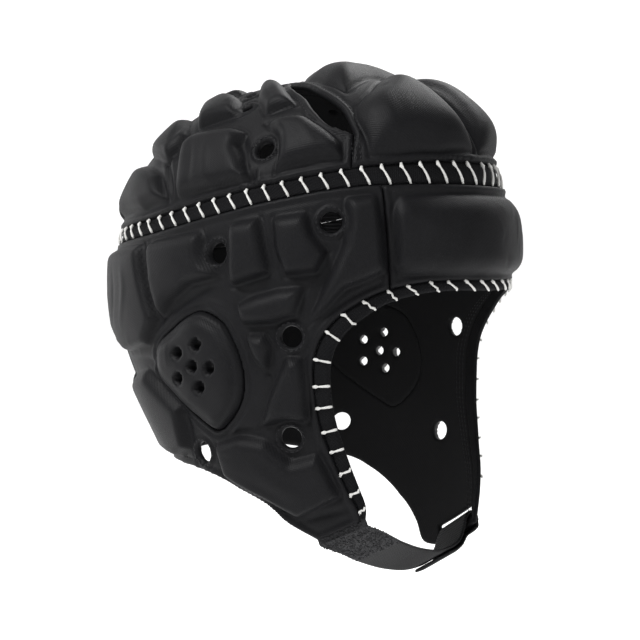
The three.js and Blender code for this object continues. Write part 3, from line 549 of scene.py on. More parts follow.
def trimmed_sheet(outline, holes, place, step=GRID_STEP):
    """A flat grid cut to an outline and pierced by holes, with its edge drawn onto them."""
    low, high = outline.min(0) - step, outline.max(0) + step
    counts = np.ceil((high - low) / step).astype(int)
    bm = bmesh.new()
    bmesh.ops.create_grid(bm, x_segments=int(counts[0]), y_segments=int(counts[1]), size=1)
    flat = low + (positions(bm.verts)[:, :2] + 1) / 2 * (high - low)
    metric = local_metric(flat, place)
    inward, nearest, _, _ = line_distance(flat, outline, metric, closed=True)
    for hole in holes:
        within, rim, _, _ = line_distance(flat, hole, metric, closed=True)
        closer = -within < inward
        inward = np.where(closer, -within, inward)
        nearest[closer] = rim[closer]
    reach = 0.5 * step * np.maximum(metric[0], np.hypot(metric[1], metric[2]))
    on_edge = np.abs(inward) <= reach
    outside = inward < -reach
    flat[on_edge] = nearest[on_edge]
    for vertex, (x, y) in zip(bm.verts, flat):
        vertex.co = (x, y, 0)
    bm.verts.index_update()
    stray = []
    for face in bm.faces[:]:
        corners = face.verts[:]
        beyond = [i for i, vertex in enumerate(corners) if outside[vertex.index]]
        if len(beyond) == 1:
            before, after = corners[beyond[0] - 1], corners[(beyond[0] + 1) % len(corners)]
            bmesh.utils.face_split(face, before, after)
        elif all(on_edge[vertex.index] for vertex in corners):
            stray.append(face)
    bmesh.ops.delete(bm, geom=stray, context="FACES_ONLY")
    bmesh.ops.delete(bm, geom=[v for v in bm.verts if outside[v.index]], context="VERTS")
    flat_slivers = [face for face in bm.faces if face.calc_area() < 0.02 * step**2]
    bmesh.ops.delete(bm, geom=flat_slivers, context="FACES_ONLY")
    bmesh.ops.delete(bm, geom=[edge for edge in bm.edges if not edge.link_faces], context="EDGES")
    bmesh.ops.delete(bm, geom=[v for v in bm.verts if not v.link_faces], context="VERTS")
    beside = {v for v in bm.verts if v.is_boundary}
    near = {edge.other_vert(v) for v in beside for edge in v.link_edges} - beside
    bmesh.ops.smooth_vert(bm, verts=list(near), factor=0.5, use_axis_x=True, use_axis_y=True)
    closed_shell(bm)
    return bm


def edge_of(outline, holes, place):
    """How far each flat place is from the nearest cut edge."""

    def distance(flat):
        metric = local_metric(flat, place)
        cuts = [np.abs(line_distance(flat, cut, metric, closed=True)[0]) for cut in [outline, *holes]]
        return np.min(cuts, axis=0)

    return distance


def quilted_piece(name, node, outline, pads, folds, holes, place, soft_way=(0, 0), rims=(), cuts=(), seed=1,
                  softness=4, roll=1.1):
    """One padded panel, made, attached to the root body, with its CAD part hidden. The further cuts have no
    rim of their own.
    """
    cuts = [*holes, *cuts]
    relief = quilt_relief(outline, pads, folds, holes, place, soft_way, rims, seed, softness)
    sheet = trimmed_sheet(outline, cuts, place)
    edge = edge_of(outline, cuts, place)

    def top(flat):
        rounded = 1 - np.clip(edge(flat) / roll, 0, 1)
        full = relief(flat)
        return full - (full - EDGE_LIFT) * (1 - np.sqrt(np.maximum(1 - rounded**2, 0)))

    def bottom(flat):
        return 0.7 * (1 - np.clip(edge(flat) / 1.2, 0, 1)) ** 2

    piece = cloth_piece(name, sheet, place, bottom, top, [panel_cloth, lining_cloth])
    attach(piece, "root")
    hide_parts(node)
    return relief


def knit(u, v):
    """Fine slanted wales of the stretch knit."""
    return 0.3 * (7.2 * (u + 0.6 * v)).sine() + 0.2 * (9.5 * (v - 0.3 * u)).sine()


panel_cloth = finish(
    "satin_knit", (0.0025, 0.0025, 0.003), (0.0125, 0.0125, 0.0138), 0.5, 1.1, 1300.0, 0.1, knit, 0.16
)

front_top = np.vstack([smooth_line(SLIT_FRONT_ROWS), smooth_line(TOP_SEAM_ROWS)[1:]])
front_outline = np.vstack([
    crown_chart(front_top[::-1], -1),
    crown_chart(seam_line(-CROWN_SEAM_FOOT, CROWN_SEAM_FOOT, -1)),
    crown_chart(front_top[:-1], 1),
])
front_pads = [(crown_chart(FRONT_CROWN_PAD, side), FRONT_CROWN_RISE, 15) for side in (-1, 1)]
front_pads.append((crown_chart(both_sides(TOP_PAD_HALF)), FRONT_CROWN_RISE, 14))


def mirrored_folds(folds, place_rows):
    return [(rise, wide, place_rows(rows, side)) for rise, wide, rows in folds for side in (-1, 1)]


front_relief = quilted_piece(
    "crown_front_cloth", "crown_front", front_outline, front_pads,
    mirrored_folds(FRONT_FOLDS, crown_chart), [], crown_place, seed=3, softness=26,
)

# Rear crown panel. The same knit over nine blocks on each side, from the slit behind the front pads to
# the nape seam, with one larger vent and three small ones a side. The knit gathers into folds between
# the blocks where it is laced down.
CROWN_VENTS = [(82.5, 53.4, 9), (133, 24, 5), (112.5, 27.6, 5), (101, 36.3, 5)]
REAR_CROWN_PADS = [
    [(113.5, 67.5), (121.5, 59.5), (145, 56), (145, 72), (124, 70)],
    [(149, 56), (177, 56), (177, 74), (149, 73)],
    [(121.5, 56), (119.5, 51), (120.5, 46.5), (142, 38), (145, 43), (145, 53)],
    [(149, 39), (176, 39), (177, 53), (149, 53)],
    [(100, 40), (111, 31.5), (137, 26), (140, 35), (118, 44.5)],
    [(145, 23), (172, 22), (175, 35.5), (149, 35.5)],
    [(110, 67), (118, 51), (116, 47), (98, 45.5), (92, 47.5), (93, 52), (88, 58.5), (85, 63), (97, 65)],
    [(86, 44.5), (69, 43), (60, 48.5), (55, 53), (55, 57.5), (68, 59), (77.5, 61), (76.5, 56), (78, 50.5)],
    [(98, 34), (124, 21), (110, 17.5), (88, 27), (74, 38), (88, 41)],
]
REAR_FOLDS = [
    (0.9, 1.5, [(133, 51.3), (118.2, 60), (112, 68)]),
    (-1.3, 1.4, [(128, 51.6), (115.8, 60.6), (111, 67.5)]),
    (0.8, 1.4, [(123.9, 51.8), (114, 61.1), (110.2, 67.5)]),
    (-1.6, 2.0, [(143, 38.8), (128.6, 44.3), (122, 50.5)]),
    (-1.5, 2.4, [(97, 46.8), (90.9, 52.7), (86.3, 57.1)]),
    (1.0, 1.3, [(82.8, 58.7), (82.4, 62), (80.2, 64.5)]),
    (-0.9, 1.2, [(84, 58.7), (84.9, 62.3), (85.8, 64.5)]),
    (0.7, 1.2, [(84.9, 57.5), (87.5, 61.5), (89, 64.5)]),
    (-0.8, 1.6, [(79, 49), (80.5, 46), (86, 44.5)]),
    (0.6, 2.6, [(105, 50), (101, 57), (98, 64)]),
    (-0.6, 2.0, [(112, 50), (107, 57), (104, 65)]),
    (0.5, 2.4, [(70, 45), (66, 51), (62, 57)]),
    (-0.5, 1.8, [(110, 20), (96, 29), (84, 38)]),
]
rear_top = np.vstack([smooth_line(SLIT_REAR_ROWS), smooth_line(TOP_SEAM_ROWS)[1:]])
rear_outline = np.vstack([
    crown_chart(seam_line(CROWN_SEAM_FOOT, 360 - CROWN_SEAM_FOOT, -1, 160)),
    crown_chart(rear_top, -1),
    crown_chart(rear_top[::-1][1:], 1),
])
rear_pads = [(crown_chart(pad, side), PAD_RISE, 6) for pad in REAR_CROWN_PADS for side in (-1, 1)]
crown_vents = [ring for side in (-1, 1) for ring in rings_of(CROWN_VENTS, crown_chart, side, crown_place)]
rear_relief = quilted_piece(
    "crown_rear_cloth", "crown_rear", rear_outline, rear_pads,
    mirrored_folds(REAR_FOLDS, crown_chart), crown_vents, crown_place, seed=5,
)

# Forehead panel. One wide flat pillow of foam under the knit, from temple seam to temple seam. The knit
# is drawn into upright folds beside the seams, and its lower edge turns in under the binding.
BINDING_WIDTH = 8
FACE_EDGE_ROWS = [
    (0, 93, 0.62), (10, 92.9, 0.62), (18, 92.8, 0.62), (28, 93.3, 0.64), (34.6, 94.4, 0.68),
    (39.5, 95.7, 0.74), (44, 97.5, 0.82), (49.3, 100.9, 0.92), (53, 103.9, 0.97), (55.5, 106.7, 1),
    (57.6, 110.2, 1), (58.8, 115.5, 1), (58.7, 121, 0.98), (58.1, 126.5, 0.96), (56.9, 132.3, 0.92),
    (54.8, 138.6, 0.84), (52.4, 145.3, 0.76),
]
RIGHT_JAW_ROWS = [(49.8, 151.7, 0.66), (48, 156.6, 0.5), (48.2, 161, 0.3)]
LEFT_JAW_ROWS = [(49.4, 151.7, 0.66), (47.6, 158, 0.52), (46.4, 165, 0.4), (45.6, 169.7, 0.3)]
TEMPLE_SEAM_TOP = 43
TEMPLE_SEAM_FOOT = 41.5
FOREHEAD_PAD_HALF = [
    (0, 66.8), (20, 66.8), (38, 67.6), (40.5, 71), (40.5, 80), (40, 86), (37, 88.2), (20, 88.4), (0, 88.4),
]
FOREHEAD_FOLDS = [
    (0.6, 1.4, [(38.4, 69), (37.6, 78), (37.8, 86)]),
    (-0.4, 2.2, [(34, 68), (33, 77), (35, 85)]),
    (0.35, 5.0, [(16, 69), (18, 78), (14, 86)]),
]


def folded_edge(rows):
    """Line where a panel ends and the binding starts, beside the face opening's free edge."""
    flat = wall_chart(rows)
    wide, _, tall = local_metric(flat, wall_place)
    run = np.gradient(rows[:, :2], axis=0) * np.stack([wide, tall], -1)
    run /= np.linalg.norm(run, axis=1, keepdims=True)
    width = rows[:, 2] * BINDING_WIDTH
    return np.stack([rows[:, 0] + run[:, 1] * width / wide, rows[:, 1] - run[:, 0] * width / tall], -1)


right_edge = smooth_line(FACE_EDGE_ROWS + RIGHT_JAW_ROWS, 4)
left_edge = smooth_line(FACE_EDGE_ROWS + LEFT_JAW_ROWS, 4)
right_fold, left_fold = folded_edge(right_edge), folded_edge(left_edge)


def split_at_temple(fold):
    """The fold line before and after the foot of the temple seam, which both parts hold."""
    crossing = int(np.argmax(fold[:, 0] > TEMPLE_SEAM_FOOT))
    foot_level = np.interp(TEMPLE_SEAM_FOOT, fold[crossing - 1 : crossing + 1, 0],
                           fold[crossing - 1 : crossing + 1, 1])
    foot = np.array([[TEMPLE_SEAM_FOOT, foot_level]])
    return np.vstack([fold[:crossing], foot]), np.vstack([foot, fold[crossing:]])


brow = split_at_temple(right_fold)[0]
forehead_outline = np.vstack([
    wall_chart(seam_line(-TEMPLE_SEAM_TOP, TEMPLE_SEAM_TOP, 1)),
    wall_chart(brow[::-1], 1),
    wall_chart(brow[1:], -1),
])
quilted_piece(
    "forehead_cloth", "forehead_panel", forehead_outline,
    [(wall_chart(both_sides(FOREHEAD_PAD_HALF)), PAD_RISE, 8.5)],
    mirrored_folds(FOREHEAD_FOLDS, wall_chart), [], wall_place, soft_way=(0, 0.4), seed=7, softness=10,
)

# Side panels. Each runs from the temple seam round the ear to the seam behind it, and down into a cheek
# flap. Small blocks follow the temple, the ear and the cheek. The knit is tight over their lower edges
# and fades out over their upper ones. Vents are cut through and overlocked, and the left flap has a slot.
BACK_SEAM_ANGLE = 146.5
VENT_DIAMETER = 10
RIGHT_BOTTOM_ROWS = [(146.5, 147), (120, 147), (102, 149), (89, 153), (80, 157), (74, 162), (64, 167)]
LEFT_BOTTOM_ROWS = [
    (146.5, 147.5), (118, 152), (107, 156), (98, 160.5), (88, 166.5), (81, 173), (75.5, 179.4), (65, 179.4),
]
SIDE_PADS = [
    [(54, 68), (45, 67.5), (44, 78), (43.4, 87), (55, 91.5), (60, 97), (65, 103), (61, 92.5), (55, 80)],
    [(76, 73), (66, 72), (64.5, 77.5), (60, 82), (63, 87), (72, 88), (75, 80)],
    [(90, 74.5), (81, 73), (77, 87.5), (89, 91), (90.5, 82)],
    [(118, 79.5), (99, 76.5), (98, 82), (93.5, 88.5), (102, 90.5), (108, 95.5), (112, 101.5), (115, 93)],
    [(144.5, 81.5), (121, 79.8), (117, 93), (114, 102), (119, 109.5), (134, 112), (144.5, 105)],
    [(87, 97), (81, 94.5), (74, 92.5), (66.5, 91.5), (69.5, 100), (76, 102), (85, 102.5)],
    [(84, 105.5), (78, 105.5), (76, 109), (77.5, 117), (81, 112.5)],
    [(71, 111.5), (67, 112.5), (66, 121), (66, 131), (71, 130), (80, 133), (76, 123)],
    [(97, 139), (88, 136), (79, 137), (71, 143), (63, 140.5), (56.5, 153), (70, 159.5), (80, 154.5),
     (95, 148.5)],
]
RIGHT_NAPE_PAD = [
    (143, 121), (124, 118), (110.5, 128.5), (111.5, 141), (120, 144), (138, 142.5), (142, 132),
]
LEFT_NAPE_PAD = [(143, 121), (126, 118), (121, 127), (123, 136), (126, 145), (138, 143), (142, 132)]
EAR_COVER = [
    (115, 110), (109, 105), (100, 99.5), (93, 102), (90, 106), (86.5, 113), (85.5, 121), (88, 128),
    (95, 134.5), (101, 132.5), (110, 126.5), (117, 119),
]
SIDE_VENTS = [(70.3, 106.2, VENT_DIAMETER), (58.8, 74.1, VENT_DIAMETER), (94, 82.2, VENT_DIAMETER)]
RIGHT_VENTS = [(71, 136, VENT_DIAMETER), (105, 142.2, VENT_DIAMETER)]
LEFT_VENTS = [(75, 142, VENT_DIAMETER), (117, 140.5, VENT_DIAMETER)]
SIDE_FOLDS = [
    (-1.6, 2.6, [(112, 102.5), (105, 97), (98.5, 93), (91, 91)]),
    (-1.5, 2.0, [(105, 101), (98.4, 96.6), (91, 98.5)]),
    (-1.2, 1.8, [(66.2, 112), (65.4, 124.4), (65, 131.7)]),
    (-1.4, 2.2, [(98, 137.5), (90.9, 136.4), (85, 134.8), (78, 135)]),
    (-1.2, 1.4, [(71, 161.8), (62.7, 159.1), (52, 156.5)]),
    (0.6, 1.8, [(72, 160), (63, 157), (52, 154.6)]),
    (-1.2, 1.8, [(142, 116), (123, 114.8), (117.5, 118)]),
    (-1.0, 1.6, [(109.4, 127), (109, 135), (110, 144)]),
    (0.7, 1.2, [(63, 76.5), (60.4, 79.3), (57, 81)]),
    (-0.8, 1.2, [(63.5, 78.5), (60.8, 81.2), (58, 82.5)]),
    (-0.8, 1.4, [(53.4, 70), (53, 76), (53.6, 82)]),
    (-0.7, 2.0, [(92, 90), (84, 93), (76, 90.5)]),
    (0.5, 3.2, [(86, 141), (76, 149), (66, 153)]),
    (-0.5, 2.4, [(92, 146), (80, 151), (70, 156)]),
    (0.5, 2.2, [(128, 84), (126, 94), (130, 106)]),
    (-0.5, 1.8, [(135, 84), (133, 95), (138, 106)]),
    (-0.6, 1.6, [(60, 141), (58, 147), (56, 152)]),
]
BLOCK_SWELL = 0.9
SOFT_UPPER_BACK = (0.45, 0.9)
SLOT_MIDDLE = (58.8, 170.8)
SLOT_SLOPE = 0.5
SLOT_LENGTH = 27.5
SLOT_HEIGHT = 5.6


def closed_line(rows, pieces=5):
    """A closed curve through rows."""
    rows = np.array(rows, float)
    wrapped = np.vstack([rows[-1:], rows, rows[:2]])
    return smooth_line(wrapped, pieces)[pieces : -pieces - 1]


def grown(outline, distance):
    """An outline moved outwards, or inwards by a negative distance, in millimetres."""
    run = np.roll(outline, -1, 0) - np.roll(outline, 1, 0)
    away = np.stack([run[:, 1], -run[:, 0]], -1) / np.linalg.norm(run, axis=1, keepdims=True)
    return outline + away * np.sign(turned_area(outline)) * distance / MM_PER_DEGREE


def beside_slot(along, down):
    """Angle and level so many millimetres along the slot and down from its middle."""
    slope = np.array([1, SLOT_SLOPE]) / math.hypot(1, SLOT_SLOPE)
    angle = SLOT_MIDDLE[0] + (along * slope[0] - down * slope[1]) / MM_PER_DEGREE
    return angle, SLOT_MIDDLE[1] + (along * slope[1] + down * slope[0]) / MM_PER_DEGREE


side_reliefs = {}
for side, name in ((-1, "right"), (1, "left")):
    cheek = split_at_temple(right_fold if side < 0 else left_fold)[1]
    bottom_rows = smooth_line(RIGHT_BOTTOM_ROWS if side < 0 else LEFT_BOTTOM_ROWS)
    outline_rows = np.vstack([seam_line(TEMPLE_SEAM_TOP, BACK_SEAM_ANGLE, 1), bottom_rows, cheek[::-1]])
    blocks = SIDE_PADS + [RIGHT_NAPE_PAD if side < 0 else LEFT_NAPE_PAD]
    ear_hole = grown(wall_chart(closed_line(EAR_COVER), side), SEAM_GAP / 2)
    side_cuts = [ear_hole]
    if side > 0:
        half_long, half_high = SLOT_LENGTH / 2, SLOT_HEIGHT / 2
        slot_corners = [(-half_long, -half_high), (half_long, -half_high), (half_long, half_high),
                        (-half_long, half_high)]
        side_cuts.append(wall_chart([beside_slot(*corner) for corner in slot_corners]))
    vents = SIDE_VENTS + (RIGHT_VENTS if side < 0 else LEFT_VENTS)
    side_reliefs[side] = quilted_piece(
        f"side_{name}_cloth", f"side_panel_{name}", wall_chart(outline_rows, side),
        [(grown(wall_chart(pad, side), BLOCK_SWELL), PAD_RISE, 3.6) for pad in blocks],
        [(rise, wide, wall_chart(rows, side)) for rise, wide, rows in SIDE_FOLDS],
        rings_of(vents, wall_chart, side, wall_place), wall_place,
        soft_way=(SOFT_UPPER_BACK[0] * side, SOFT_UPPER_BACK[1]),
        rims=[(ear_hole, [(1.2, 0.5, 0.8), (2.8, -0.7, 0.7), (4.6, 0.5, 0.9)])], cuts=side_cuts, seed=11,
    )

# Back panel. The photograph hides it, so it is plain: the same knit over two rows of blocks, sewn to the
# side panels at two upright seams, with an open lower edge at the nape.
BACK_PADS = [
    [(149, 82.5), (177, 83.5), (177, 112), (149, 112)],
    [(149, 119), (177, 119), (177, 141), (149, 141)],
]
back_outline = wall_chart(np.vstack([
    seam_line(BACK_SEAM_ANGLE, 360 - BACK_SEAM_ANGLE, 1),
    [(360 - BACK_SEAM_ANGLE, 147), (180, 146), (BACK_SEAM_ANGLE, 147.5)],
]))
back_pads = [wall_chart(pad) for pad in BACK_PADS]
back_pads += [wall_chart([(360 - angle, level) for angle, level in pad]) for pad in BACK_PADS]
back_folds = [
    (0.5, 3.0, wall_chart([(158, 86), (162, 96), (158, 108)])),
    (-0.5, 2.4, wall_chart([(198, 86), (195, 97), (201, 109)])),
    (0.4, 3.0, wall_chart([(160, 122), (166, 130), (162, 139)])),
]
quilted_piece(
    "back_cloth", "back_panel", back_outline, [(pad, PAD_RISE, 5.5) for pad in back_pads],
    back_folds, [], wall_place, soft_way=(0, 0.8), seed=13,
)

# Ear covers. A teardrop of thinner foam under tight knit, let into each side panel inside a rim of two
# ridges. Six overlocked holes let sound through, and the upper end stands out most.
EAR_COVER_RISE = 4.6
EAR_HOLE_DIAMETER = 5.2
EAR_HOLES = [(105.6, 111.7), (98.9, 109), (100.6, 115.5), (95, 115.8), (106.2, 119.3), (98.8, 121.6)]
for side, name in ((-1, "right"), (1, "left")):
    cover_outline = grown(wall_chart(closed_line(EAR_COVER), side), SEAM_GAP)
    holes = rings_of([(*hole, EAR_HOLE_DIAMETER) for hole in EAR_HOLES], wall_chart, side, wall_place, 16)
    quilted_piece(
        f"ear_cover_{name}_cloth", f"ear_cover_{name}", cover_outline, [(cover_outline, EAR_COVER_RISE, 9)],
        [(0.4, 4.0, wall_chart([(112, 112), (104, 118), (98, 127)], side))], [], wall_place,
        cuts=holes, seed=17, roll=0.6,
    )

# Face binding. A matt black tape folded over the cut edge of the whole face opening, from one jaw to the
# other, widest at the cheeks.
BINDING_THICKNESS = 2.8
BINDING_RIBS = 7
opening_edge = np.vstack([left_edge[::-1, :2], right_edge[1:, :2] * (-1, 1)])
opening_fold = np.vstack([left_fold[::-1], right_fold[1:] * (-1, 1)])


def resampled(rows, count, along):
    """Rows at even steps along a matching line."""
    run = np.linalg.norm(np.diff(along, axis=0), axis=1)
    lengths = np.concatenate([[0], np.cumsum(run)])
    steps = np.linspace(0, lengths[-1], count)
    return np.stack([np.interp(steps, lengths, column) for column in rows.T], -1)


opening_line = on_skin(wall_chart(opening_edge), np.full(len(opening_edge), 2.0), wall_place)
opening_length = np.linalg.norm(np.diff(opening_line, axis=0), axis=1).sum()
binding_steps = int(opening_length / 1.2)
edge_rows = resampled(opening_edge, binding_steps + 1, opening_line)
fold_rows = resampled(opening_fold, binding_steps + 1, opening_line)
binding_sheet = bmesh.new()
bmesh.ops.create_grid(binding_sheet, x_segments=binding_steps, y_segments=BINDING_RIBS, size=1)
for vertex in binding_sheet.verts:
    step = round((vertex.co.x + 1) / 2 * binding_steps)
    share = 0.03 + 0.94 * (vertex.co.y + 1) / 2
    row = edge_rows[step] * (1 - share) + fold_rows[step] * share
    vertex.co = (row[0], -row[1], 0)
closed_shell(binding_sheet)
edge_flat, fold_flat = wall_chart(edge_rows), wall_chart(fold_rows)


def binding_top(flat):
    metric = local_metric(flat, wall_place)
    to_edge = line_distance(flat, edge_flat, metric)[0]
    to_fold = line_distance(flat, fold_flat, metric)[0]
    rolled = np.sqrt(np.clip(to_edge / 1.8, 0.05, 1)) * np.sqrt(np.clip(to_fold / 1.0, 0.3, 1))
    return 0.8 + (BINDING_THICKNESS - 0.8) * rolled


binding = cloth_piece(
    "face_binding_cloth", binding_sheet, wall_place, lambda flat: np.zeros(len(flat)), binding_top,
    [tape_cloth, tape_cloth],
)
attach(binding, "root")
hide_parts("face_binding")

# Lacing. Thick white cord crosses the seam tape and the face binding in slanted stitches ten millimetres
# long. Each starts in a small knot at its upper end, leans back, and turns under at its foot.
LACE_RADIUS = 0.56
LACE_SPACING = 9.6
BINDING_LACE_SPACING = 10.4
LACE_LEAN = 3.6
LACE_STATIONS = 7
LACE_SIDES = 8
LACE_BEND = np.array([0.9, 1.05, 0.55, 0.1, -0.35, -0.75, -1.0])
KNOT_SHARES = np.array([1.1, 1.7, 0.75, 1, 1.05, 1.25, 0.9])
LACE_ARCH = 1.1
LACE_LIFT = 2.6
BINDING_ARCH = 0.75
BINDING_LEAN = 3.4
LAST_DASH_LEVEL = 158


def strand(bm, points, radii):
    """A round closed cord through points."""
    points = np.array(points, float)
    rings = []
    for index, (point, radius) in enumerate(zip(points, radii)):
        ahead = points[min(index + 1, len(points) - 1)] - points[max(index - 1, 0)]
        turn = Vector(ahead).to_track_quat("Z", "Y").to_matrix().to_4x4()
        place = Matrix.Translation(Vector(point)) @ turn
        ring = bmesh.ops.create_circle(bm, segments=LACE_SIDES, radius=radius, matrix=place)
        corners = set(ring["verts"])
        rings.append([edge for edge in bm.edges[-LACE_SIDES:] if set(edge.verts) <= corners])
    for one, other in zip(rings, rings[1:]):
        bmesh.ops.bridge_loops(bm, edges=one + other)
    for ring in (rings[0], rings[-1]):
        bmesh.ops.holes_fill(bm, edges=ring, sides=LACE_SIDES)


lace_thread = finish(
    "lace_cord", (0.5, 0.49, 0.47), (0.78, 0.78, 0.76), 0.72, 1.0, 2600.0, 0.3, None, 0.25
)
lacing = bmesh.new()
seam_angles = np.linspace(-180, 180, 721)
seam_points = on_skin(
    np.stack([seam_angles, -seam_edge(seam_angles, 0)], -1), np.full(721, 3.0), wall_place
)
seam_lengths = np.concatenate([[0], np.cumsum(np.linalg.norm(np.diff(seam_points, axis=0), axis=1))])
lace_count = round(seam_lengths[-1] / LACE_SPACING)
lace_shares = np.linspace(-0.98, 0.98, LACE_STATIONS)
knot_radii = LACE_RADIUS * KNOT_SHARES
for index in range(lace_count):
    middle = np.interp((index + 0.5) * seam_lengths[-1] / lace_count, seam_lengths, seam_angles)
    back = 1 if middle > 0 else -1
    angles = middle + back * LACE_BEND * LACE_LEAN / 3
    levels = [float(seam_edge(angle, share)) for angle, share in zip(angles, lace_shares)]
    lifts = LACE_LIFT + LACE_ARCH * np.cos(lace_shares * math.pi / 2.1)
    rows = np.stack([angles, -np.array(levels)], -1)
    strand(lacing, on_skin(rows, lifts, wall_place), knot_radii)
dash_count = round(opening_length / BINDING_LACE_SPACING)
for index in range(dash_count):
    share = (index + 0.5) / dash_count * binding_steps
    step = int(share)
    if abs(edge_rows[step][1]) > LAST_DASH_LEVEL:
        continue
    lean = BINDING_LEAN * math.cos(math.radians(min(abs(edge_rows[step][0]) * 1.5, 90)))
    over = []
    for station in range(LACE_STATIONS):
        part = station / (LACE_STATIONS - 1)
        near = min(max(step + round(lean * (part - 0.5) * 1.6), 0), binding_steps)
        over.append(edge_rows[near] * (0.97 - part) + fold_rows[near] * (0.03 + part))
    rows = wall_chart(over)
    lifts = LACE_LIFT + BINDING_ARCH * np.sin(np.linspace(0.25, math.pi - 0.25, LACE_STATIONS))
    strand(lacing, on_skin(rows, lifts, wall_place), knot_radii[::-1] * 0.92)
bmesh.ops.recalc_face_normals(lacing, faces=lacing.faces[:])
lacing_piece = plain_piece("lacing", lacing, [lace_thread])
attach(lacing_piece, "root")

# Vent netting. Behind each temple vent and each small crown vent a patch of thin cord net is glued under
# the cloth, and shows as level threads across the hole.
NET_THREAD = 0.28
NET_LINES = 6
netting = bmesh.new()
netted = [(side, *vent) for side in (-1, 1) for vent in (SIDE_VENTS[1], *CROWN_VENTS[1:])]
for side, angle, level, diameter in netted:
    for line in np.linspace(-0.42, 0.42, NET_LINES):
        half = math.sqrt(0.5**2 - line**2) * diameter + 0.4
        middle = wall_chart([(angle, level)], side)
        wide, _, tall = (float(value[0]) for value in local_metric(middle, wall_place))
        ends = np.linspace(-half, half, 4) / wide
        rows = np.stack([angle * side + ends, np.full(4, -level + line * diameter / tall)], -1)
        strand(netting, on_skin(rows, np.full(4, 0.9), wall_place), [NET_THREAD] * 4)
bmesh.ops.recalc_face_normals(netting, faces=netting.faces[:])
net_piece = plain_piece("vent_netting", netting, [tape_cloth])
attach(net_piece, "root")

# Chin strap. The first third is loop tape, sewn to the right flap with a double row of stitches. The
# rest is ribbed elastic, which goes out through the slot of the left flap, turns over its lip and lies
# folded back on itself.
LOOP_TAPE_WIDTH = 25
LOOP_TAPE_THICKNESS = 2.6
LOOP_TAPE_SHARE = 0.3
ELASTIC_WIDTH = 25
ELASTIC_THICKNESS = 1.8
STRAP_CLEARANCE = 0.6
STRAP_STEP = 5
CHIN_SAG = 17
SLOT_LIP = 3.6
FOLDED_TAIL_LENGTH = 34
STRAP_LEAN = 35
STRAP_ROWS = [(0.15, 0.35), (0.32, 0.68), (0.52, 0.95), (0.72, 1.04), (0.9, 0.8)]
FINE_STEP = 0.8
SEWN_IN = 4
RIB_SPACING = 1.6
RIB_DEPTH = 0.16


def skin_row(angle, level, lift):
    return on_skin(np.array([[angle, -level]], float), np.array([lift]), wall_place)[0]


def unit(vector):
    return vector / np.linalg.norm(vector)


seam_top = skin_row(-RIGHT_JAW_ROWS[-1][0], RIGHT_JAW_ROWS[-1][1], PANEL_WALL / 2)
seam_low = skin_row(-RIGHT_BOTTOM_ROWS[-1][0], RIGHT_BOTTOM_ROWS[-1][1], PANEL_WALL / 2)
seam_across = unit(seam_top - seam_low)
slot_ends = [skin_row(*beside_slot(side * SLOT_LENGTH / 2, 0), 0) for side in (-1, 1)]
slot_across = unit(slot_ends[0] - slot_ends[1])
lip_radius = (PANEL_WALL + ELASTIC_THICKNESS) / 2 + STRAP_CLEARANCE


def lip_point(degrees):
    """A point of the turn over the slot's lip, from the inner side to the outer."""
    turn = math.radians(degrees)
    place = beside_slot(0, SLOT_HEIGHT / 2 - lip_radius * math.sin(turn))
    return skin_row(*place, PANEL_WALL / 2 - lip_radius * math.cos(turn))


jaw_place = (-RIGHT_BOTTOM_ROWS[-1][0], RIGHT_BOTTOM_ROWS[-1][1])
outside = skin_row(*jaw_place, 1) - skin_row(*jaw_place, 0)
away = unit(np.cross(seam_across, outside))
strap_start = (seam_top + seam_low) / 2 + away * SEAM_GAP
strap_end = lip_point(STRAP_LEAN)
before_end = unit(lip_point(STRAP_LEAN + 1) - strap_end)
strap_middles = [
    strap_start + (strap_end - strap_start) * across - np.array([0, 0, sag * CHIN_SAG])
    for across, sag in STRAP_ROWS
]
strap_line = smooth_line(
    [strap_start, strap_start + away * STRAP_STEP / 2, *strap_middles,
     strap_end - before_end * STRAP_STEP / 2, strap_end], 16,
)
strap_lengths = np.concatenate([[0], np.cumsum(np.linalg.norm(np.diff(strap_line, axis=0), axis=1))])
strap_length = strap_lengths[-1]


def strap_point(share):
    return np.array([np.interp(share * strap_length, strap_lengths, column) for column in strap_line.T])


def strap_across(share):
    return unit(seam_across * (1 - share) + slot_across * share)


def strap_band(name, middles, acrosses, width, thickness, material, relief):
    """A flat band along stations, whose two faces stand off by a relief."""
    middles, acrosses = np.array(middles), np.array(acrosses)
    run = np.gradient(middles, axis=0)
    outward = np.cross(run, acrosses)
    outward /= np.linalg.norm(outward, axis=1, keepdims=True)
    lengths = np.concatenate([[0], np.cumsum(np.linalg.norm(np.diff(middles, axis=0), axis=1))])
    bm = bmesh.new()
    steps, ribs = len(middles) - 1, 24
    bmesh.ops.create_grid(bm, x_segments=steps, y_segments=ribs, size=1)
    closed_shell(bm)
    mesh = bpy.data.meshes.new(name)
    for face in bm.faces:
        face.smooth = True
    bm.to_mesh(mesh)
    bm.free()
    marked = positions(mesh.vertices)
    station = np.round((marked[:, 0] + 1) / 2 * steps).astype(int)
    share, outer = marked[:, 1], marked[:, 2] > 0.5
    rounded = 1 - 0.55 * np.clip((np.abs(share) - 0.93) / 0.07, 0, 1) ** 2
    off = (thickness / 2 * rounded + relief(lengths[station], share * width / 2)) * np.where(outer, 1, -1)
    points = middles[station] + acrosses[station] * (share * width / 2)[:, None]
    points += outward[station] * off[:, None]
    mesh.vertices.foreach_set("co", (points * MM).ravel())
    corners = np.empty(len(mesh.loops), int)
    mesh.loops.foreach_get("vertex_index", corners)
    uv = mesh.uv_layers.new(name="cloth")
    places = np.stack([lengths[station], share * width / 2], -1)
    uv.data.foreach_set("uv", places[corners].ravel())
    mesh.materials.append(material)
    mesh.update()
    piece = bpy.data.objects.new(name, mesh)
    bpy.context.collection.objects.link(piece)
    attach(piece, "root")
    return piece, outward


